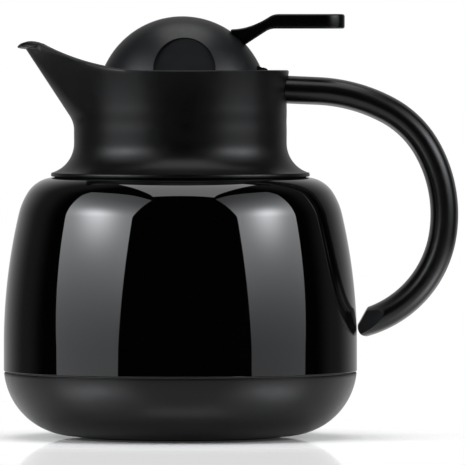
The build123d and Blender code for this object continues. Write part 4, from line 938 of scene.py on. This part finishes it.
def make_finishes(settings):
    """Make every finish once, from the panel's colours."""
    black, lid, lever = settings.moulding_colour, settings.lid_colour, settings.lever_colour
    haze = settings.lacquer_roughness
    FINISHES.update({
        "casing_lacquer": clouded(
            "gloss_black_lacquer", settings.lacquer_colour, ((9, 3), 0.85, 1.15),
            ((60, 6), haze * 0.7, haze * 1.5), ((38, 2), 0.00004, 0.12), IOR=1.72),
        "matt_moulding": moulding("matt_black_moulding", black, 0.35, 2600, 0.00004, 1.4),
        "cup_moulding": moulding("matt_cup_moulding", black, 0.31, 2600, 0.00004, 1.35),
        "lid_moulding": moulding("satin_lid_moulding", lid, 0.4, 2200, 0.00002, 1.48),
        "lever_moulding": moulding("satin_lever_moulding", lever, 0.27, 2000, 0.00002, 1.4),
        # The paler colour below is a painted highlight on the handle's end facets, not the moulding's own
        # colour.
        "handle_moulding": paint_facet_light(
            moulding("satin_handle_moulding", lever, 0.3, 2200, 0.00002), (0.017, 0.0175, 0.0185)),
        "inner_moulding": moulding("smooth_inner_moulding", scaled(black, 2.0), 0.38, 1500, 0.00002),
        "black_rubber": clouded(
            "black_rubber", (0.012, 0.012, 0.013), ((120, 6), 1.0, 1.9), ((400, 5), 0.6, 0.78),
            ((1500, 3), 0.00005, 0.4), IOR=1.5),
        "clear_silicone": clouded(
            "milky_silicone", (0.55, 0.55, 0.53), ((80, 4), 0.94, 1.04), ((300, 4), 0.38, 0.5),
            ((900, 3), 0.00003, 0.3), IOR=1.41, Subsurface_Weight=0.35, Subsurface_Scale=0.002,
            Transmission_Weight=0.15),
        "grey_felt": clouded(
            "pressed_grey_felt", (0.35, 0.34, 0.32), ((700, 8, 0.7), 0.7, 1.25), None,
            ((1400, 6, 0.7), 0.0003, 0.8), Roughness=0.95, Sheen_Weight=0.3),
        "silvered_glass": clouded(
            "silvered_glass", (0.75, 0.76, 0.78), ((22, 4), 0.9, 1.0), ((45, 4), 0.04, 0.12),
            ((25, 2), 0.0002, 0.15), Metallic=0.92, IOR=1.52, Coat_Weight=1.0, Coat_Roughness=0.02),
        "screw_steel": steel("drawn_steel", (0.6, 0.6, 0.62)),
        "dark_steel": steel("blackened_steel", (0.03, 0.03, 0.032)),
    })


# Sizes and colours that a user would change

class CarafeSettings(bpy.types.PropertyGroup):
    """Sizes and colours of the carafe's dressed pieces."""

    casing_wall: FloatProperty(
        name="Casing wall", description="Thickness of the lacquered metal", default=0.0008,
        subtype="DISTANCE")
    edge_round: FloatProperty(
        name="Edge rounding", description="Rounding of the edges at the seam", default=0.0002,
        subtype="DISTANCE")
    rim_round: FloatProperty(
        name="Rim rounding", description="Rounding of the collar's rim", default=0.001,
        subtype="DISTANCE")
    handle_edge: FloatProperty(
        name="Handle edge", description="Rounding of the handle's cut edges", default=0.0005,
        subtype="DISTANCE")
    turn_steps: IntProperty(
        name="Steps round", description="Steps once round the body", default=256, min=48)
    lacquer_colour: FloatVectorProperty(
        name="Lacquer", description="Colour of the casing's lacquer", subtype="COLOR",
        default=(0.0006, 0.0006, 0.0007))
    lacquer_roughness: FloatProperty(
        name="Lacquer roughness", description="Haze of the lacquer", default=0.025,
        subtype="FACTOR", min=0.0, max=1.0)
    moulding_colour: FloatVectorProperty(
        name="Moulding", description="Colour of the matt mouldings", subtype="COLOR",
        default=(0.0007, 0.0008, 0.001))
    lid_colour: FloatVectorProperty(
        name="Lid", description="Colour of the lid", subtype="COLOR", default=(0.0016, 0.0021, 0.0031))
    lever_colour: FloatVectorProperty(
        name="Lever and handle", description="Colour of the lever and the handle", subtype="COLOR",
        default=(0.0003, 0.0003, 0.0004))


class CARAFE_OT_casing(bpy.types.Operator):
    """Turn the lacquered casing, the ring in its seam and the gasket on its shoulder"""

    bl_idname = "carafe.casing"
    bl_label = "Casing"

    def execute(self, context):
        settings = context.scene.carafe
        steps = settings.turn_steps
        casing = casing_moves(settings.casing_wall / MM, settings.edge_round / MM)
        finish_piece(turned(casing, steps), "gloss_casing", "outer_casing", "jug", "casing_lacquer")
        low, high = SEAM_Z - SEAM_GAP / 2, SEAM_Z + SEAM_GAP / 2
        seal = ring_moves(
            UPSTAND_OUTER + RING_CLEAR, BODY_RADIUS - SEAM_DEPTH, low, low, high, SEAL_ROUND, SEAL_ROUND)
        finish_piece(turned(seal, steps), "seam_ring", "seam_seal", "jug", "black_rubber")
        gasket = ring_moves(
            GASKET_INNER, GASKET_OUTER, cone_z(GASKET_INNER), cone_z(GASKET_OUTER),
            FLANGE_Z + FLANGE_RECESS, GASKET_HEEL, GASKET_ROUND)
        finish_piece(turned(gasket, RING_STEPS), "flange_gasket", "collar_gasket", "jug", "black_rubber")
        return {"FINISHED"}


class CARAFE_OT_base(bpy.types.Operator):
    """Turn the matt base cup and its rubber foot ring"""

    bl_idname = "carafe.base"
    bl_label = "Base cup"

    def execute(self, context):
        settings = context.scene.carafe
        cup = turned(cup_moves(settings.edge_round / MM), settings.turn_steps)
        finish_piece(cup, "base_cup_shell", "base_cup", "jug", "matt_moulding", "cup_moulding")
        finish_piece(turned(foot_moves(), RING_STEPS), "rubber_foot", "foot_ring", "jug", "black_rubber")
        return {"FINISHED"}


class CARAFE_OT_collar(bpy.types.Operator):
    """Shape the collar with its flange, neck, spout and drip lip"""

    bl_idname = "carafe.collar"
    bl_label = "Spout collar"

    def execute(self, context):
        collar = collar_mesh(context.scene.carafe.rim_round / MM)
        finish_piece(collar, "collar_shell", "spout_collar", "jug", "matt_moulding")
        return {"FINISHED"}


class CARAFE_OT_handle(bpy.types.Operator):
    """Sweep the loop handle and cut its free end"""

    bl_idname = "carafe.handle"
    bl_label = "Handle"

    def execute(self, context):
        bm = handle_mesh()
        piece = finish_piece(bm, "loop_handle", "handle", "jug", "matt_moulding", "handle_moulding")
        bevel = piece.modifiers.new("edge", "BEVEL")
        bevel.width = context.scene.carafe.handle_edge
        bevel.segments = HANDLE_BEVEL_STEPS
        bevel.limit_method = "ANGLE"
        bevel.angle_limit = math.radians(HANDLE_BEVEL_ABOVE)
        bevel.harden_normals = True
        return {"FINISHED"}


class CARAFE_OT_lid(bpy.types.Operator):
    """Turn the dome, cut its finger flats and hinge notch and add the knuckles"""

    bl_idname = "carafe.lid"
    bl_label = "Lid dome"

    def execute(self, context):
        mesh = dome_mesh()
        bm = bmesh.new()
        bm.from_mesh(mesh)
        for side in (-1, 1):
            add_knuckle(bm, side)
        bm.to_mesh(mesh)
        bm.free()
        hang_piece(mesh, "dome_shell", "lid_dome", "lid", "lid_moulding", smooth_below=DOME_SMOOTH_BELOW)
        return {"FINISHED"}


class CARAFE_OT_lever(bpy.types.Operator):
    """Shape the thumb lever on the dome"""

    bl_idname = "carafe.lever"
    bl_label = "Thumb lever"

    def execute(self, context):
        finish_piece(lever_mesh(), "thumb_lever_pad", "thumb_lever", "lid", "lever_moulding")
        return {"FINISHED"}


FITTED = (  # node, name, body and slot, and the finish where it isn't the slot's
    ("pour_insert", "pour_insert_moulding", "jug", "inner_moulding"),
    ("liner_inner_bottle", "inner_bottle_glass", "jug", "silvered_glass"),
    ("neck_gasket", "neck_gasket_ring", "jug", "clear_silicone"),
    ("hinge_pin", "hinge_pin_rod", "jug", "screw_steel", "dark_steel"),
    ("handle_screws", "handle_screw_pair", "jug", "screw_steel"),
    ("lid_plug", "lid_plug_cup", "lid", "inner_moulding"),
    ("lid_seal", "lid_seal_ring", "lid", "clear_silicone"),
    ("lever_screws", "lever_screw_pair", "lid", "screw_steel"),
)
HIDDEN = {
    "base_thread_ring": "inner_moulding",
    "liner_outer_bottle": "silvered_glass",
    "liner_spacers": "grey_felt",
    "liner_cushion": "black_rubber",
    "collar_clamp_nut": "inner_moulding",
}


class CARAFE_OT_fittings(bpy.types.Operator):
    """Smooth the inner fittings and give every hidden piece its finish"""

    bl_idname = "carafe.fittings"
    bl_label = "Fittings"

    def execute(self, context):
        for row in FITTED:
            fitted_copy(*row)
        spring = fitted_copy("closing_spring", "closing_spring_wire", None, "screw_steel")
        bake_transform(spring)
        for node, slot in HIDDEN.items():
            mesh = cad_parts[node].data
            mesh.materials.clear()
            mesh.materials.append(FINISHES[slot])
        return {"FINISHED"}


# Stage, in metres

CAMERA = (0.0236, -3.85, 0.173)
AIM_Z = 0.0926
FRAME_WIDTH = 0.2106  # across the picture at the jug's axis
SENSOR = 36.0
FLOOR_RADIUS = 0.42
FLOOR_STEPS = 128
FLOOR_DROP = 0.0002
FLOOR_WHITE = (0.95, 0.95, 0.95, 1)
FLOOR_FADE = (0.06, 0.17)
FLOOR_GLOSS = 0.3
FLOOR_GLOSS_ROUGH = 0.03
FLOOR_GLOSS_GAIN = 1.89  # lifts the mirrored backdrop to white
FLOOR_GLOW = 0.03
SURROUND_SIDE = (0.15, 0.5, 0.06)  # where white starts and is full, and its share
SURROUND_BACK = (0.55, 1.45, 0.94)
SURROUND_FILL = 0.8
LAMP_DISTANCE = 1.1
LAMP_ELEVATION = 24.0
LAMP_HEIGHT = 1.4
LAMP_AIM_Z = 0.085
LAMP_RADIANCE = 7.2
LAMP_POWER = 4  # watts per square metre at a radiance of 1
LAMP_TINT = (0.95, 0.97, 1.0)
PATCH_SPREAD = (0.25, 0.09)  # of a softbox's width and height
PATCH_LEVEL = 0.72
BROAD_SPREAD = 0.22
SOFTBOXES = (  # name, degrees from the camera towards +X, width, even level, broad level, tilt
    ("left_softbox", -62.5, 1.06, 0.08, 0.21, -0.12),
    ("right_softbox", 66.6, 0.93, 0.056, 0.22, 0.12),
)
PANELS = (  # name, size, place, radiance, seen in mirrors
    ("top_panel", (1.0, 1.76), (0.06, 0.07, 1.5), 1.3, True),
    ("floor_panel", (1.6, 1.6), (0, 0, 1.6), 1.7, False),
)


def studio_world(scene):
    """White to the camera; mirrors and glass see a dark studio in front of the jug."""
    scene.world = bpy.data.worlds.new("studio_surround")
    graph = Graph(scene.world)
    depth = graph.axes("TexCoord", "Generated")["Y"]
    behind = graph.math("ADD", graph.ramp(depth, *SURROUND_SIDE), graph.ramp(depth, *SURROUND_BACK))
    path = graph.nodes.new("ShaderNodeLightPath").outputs
    mirrored = graph.math("MAXIMUM", path["Is Glossy Ray"], path["Is Transmission Ray"])
    seen = graph.math("MAXIMUM", path["Is Camera Ray"], graph.math("MULTIPLY", mirrored, behind))
    fill = graph.math("MULTIPLY", behind, SURROUND_FILL)
    background = graph.nodes["Background"].inputs
    graph.links.new(graph.math("MAXIMUM", seen, fill), background["Strength"])
    background["Color"].default_value = (1, 1, 1, 1)


def floor_material():
    """White card under a thin gloss: it keeps the jug's shadow and runs out into plain white."""
    material = bpy.data.materials.new("white_card")
    graph = Graph(material)
    graph.nodes.remove(graph.nodes["Principled BSDF"])
    card = graph.add("BsdfDiffuse", "BSDF", {"Color": FLOOR_WHITE})
    mirror = {"Color": (*(FLOOR_GLOSS_GAIN,) * 3, 1), "Roughness": FLOOR_GLOSS_ROUGH}
    gloss = graph.add("BsdfGlossy", "BSDF", mirror)
    glow = graph.add("Emission", "Emission", {})
    place = graph.add("TexCoord", "Object", {})
    away = graph.add("VectorMath", "Value", {0: place}, operation="LENGTH")
    path = graph.nodes.new("ShaderNodeLightPath").outputs
    seen = graph.math("MAXIMUM", path["Is Camera Ray"], path["Is Glossy Ray"])
    seen = graph.math("MAXIMUM", seen, path["Is Transmission Ray"])
    share = graph.math("MULTIPLY", graph.ramp(away, *FLOOR_FADE, 1.0), seen)
    share = graph.math("MAXIMUM", share, FLOOR_GLOW)
    card = graph.add("MixShader", "Shader", {"Fac": share, 1: card, 2: glow})
    card = graph.add("MixShader", "Shader", {"Fac": FLOOR_GLOSS, 1: card, 2: gloss})
    graph.links.new(card, graph.nodes["Material Output"].inputs["Surface"])
    return material


def aimed(name, data, place, target):
    """Put a lamp or the camera somewhere and point it at a target."""
    obj = placed(name, data)
    obj.location = place
    obj.rotation_euler = (Vector(target) - Vector(place)).to_track_quat("-Z", "Y").to_euler()
    return obj


def area_lamp(name, size, radiance, place, target):
    """A rectangular lamp that the camera doesn't see."""
    data = bpy.data.lights.new(name, "AREA")
    data.shape = "RECTANGLE"
    data.size, data.size_y = size
    data.energy = radiance * LAMP_POWER * size[0] * size[1]
    lamp = aimed(name, data, place, target)
    lamp.visible_camera = False
    return lamp


def softbox(name, azimuth, width, even_level, broad_level, tilt):
    """A softbox, brightest in its middle and dimmer towards its ends and one side."""
    turn, lift = math.radians(azimuth), math.radians(LAMP_ELEVATION)
    reach = LAMP_DISTANCE * math.cos(lift)
    place = (reach * math.sin(turn), -reach * math.cos(turn), LAMP_AIM_Z + LAMP_DISTANCE * math.sin(lift))
    data = area_lamp(name, (width, LAMP_HEIGHT), LAMP_RADIANCE, place, (0, 0, LAMP_AIM_Z)).data
    data.color = LAMP_TINT
    graph = Graph(data)
    step = graph.math

    def bell(value, spread):
        """A bell curve about the softbox's middle."""
        offset = step("DIVIDE", step("SUBTRACT", value, 0.5), spread)
        return step("POWER", math.e, step("MULTIPLY", step("MULTIPLY", offset, offset), -1.0))

    axes = graph.axes("NewGeometry", "Parametric")
    patch = step("MULTIPLY", bell(axes["X"], PATCH_SPREAD[0]), bell(axes["Y"], PATCH_SPREAD[1]))
    broad = step("MULTIPLY", bell(axes["Y"], BROAD_SPREAD), broad_level)
    level = step("ADD", step("ADD", step("MULTIPLY", patch, PATCH_LEVEL), broad), even_level)
    lean = step("ADD", step("MULTIPLY", axes["X"], tilt), 1.0 - tilt / 2)
    graph.links.new(step("MULTIPLY", level, lean), graph.nodes["Emission"].inputs["Strength"])


class CARAFE_OT_stage(bpy.types.Operator):
    """Set up the camera, the softboxes, the white floor and the surround"""

    bl_idname = "carafe.stage"
    bl_label = "Stage"

    def execute(self, context):
        scene = context.scene
        data = bpy.data.cameras.new("studio_camera")
        data.sensor_width = SENSOR
        data.lens = SENSOR * math.hypot(CAMERA[1], CAMERA[2] - AIM_Z) / FRAME_WIDTH
        scene.camera = aimed("studio_camera", data, CAMERA, (CAMERA[0], 0, AIM_Z))

        bm = bmesh.new()
        bmesh.ops.create_circle(bm, cap_ends=True, segments=FLOOR_STEPS, radius=FLOOR_RADIUS)
        floor = placed("white_floor", mesh_from(bm, "white_floor"))
        floor.data.materials.append(floor_material())
        floor.location.z = -FLOOR_DROP

        for row in SOFTBOXES:
            softbox(*row)
        for name, size, (x, y, z), radiance, mirrored in PANELS:
            panel = area_lamp(name, size, radiance, (x, y, z), (x, y, 0))
            panel.visible_glossy = mirrored
        studio_world(scene)
        scene.view_settings.view_transform = "Standard"
        return {"FINISHED"}


class CARAFE_PT_panel(bpy.types.Panel):
    """Sizes, colours and build buttons of the carafe"""

    bl_idname = "CARAFE_PT_panel"
    bl_label = "Thermal Carafe"
    bl_space_type = "VIEW_3D"
    bl_region_type = "UI"
    bl_category = "Carafe"

    def draw(self, context):
        layout = self.layout
        settings = context.scene.carafe
        for name in CarafeSettings.__annotations__:
            layout.prop(settings, name)
        for operator in OPERATORS:
            layout.operator(operator.bl_idname)


OPERATORS = (
    CARAFE_OT_casing, CARAFE_OT_base, CARAFE_OT_collar, CARAFE_OT_handle, CARAFE_OT_lid, CARAFE_OT_lever,
    CARAFE_OT_fittings, CARAFE_OT_stage,
)
CLASSES = (CarafeSettings, *OPERATORS, CARAFE_PT_panel)


def register():
    """Register the classes and hang the settings on the scene."""
    for cls in CLASSES:
        bpy.utils.register_class(cls)
    bpy.types.Scene.carafe = PointerProperty(type=CarafeSettings)


def unregister():
    """Take the settings and the classes away again."""
    del bpy.types.Scene.carafe
    for cls in reversed(CLASSES):
        bpy.utils.unregister_class(cls)


def main():
    """Build every piece and the stage."""
    register()
    make_finishes(bpy.context.scene.carafe)
    bpy.ops.carafe.casing()
    bpy.ops.carafe.base()
    bpy.ops.carafe.collar()
    bpy.ops.carafe.handle()
    bpy.ops.carafe.lid()
    bpy.ops.carafe.lever()
    bpy.ops.carafe.fittings()
    bpy.ops.carafe.stage()
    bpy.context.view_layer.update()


if __name__ == "__main__":
    main()
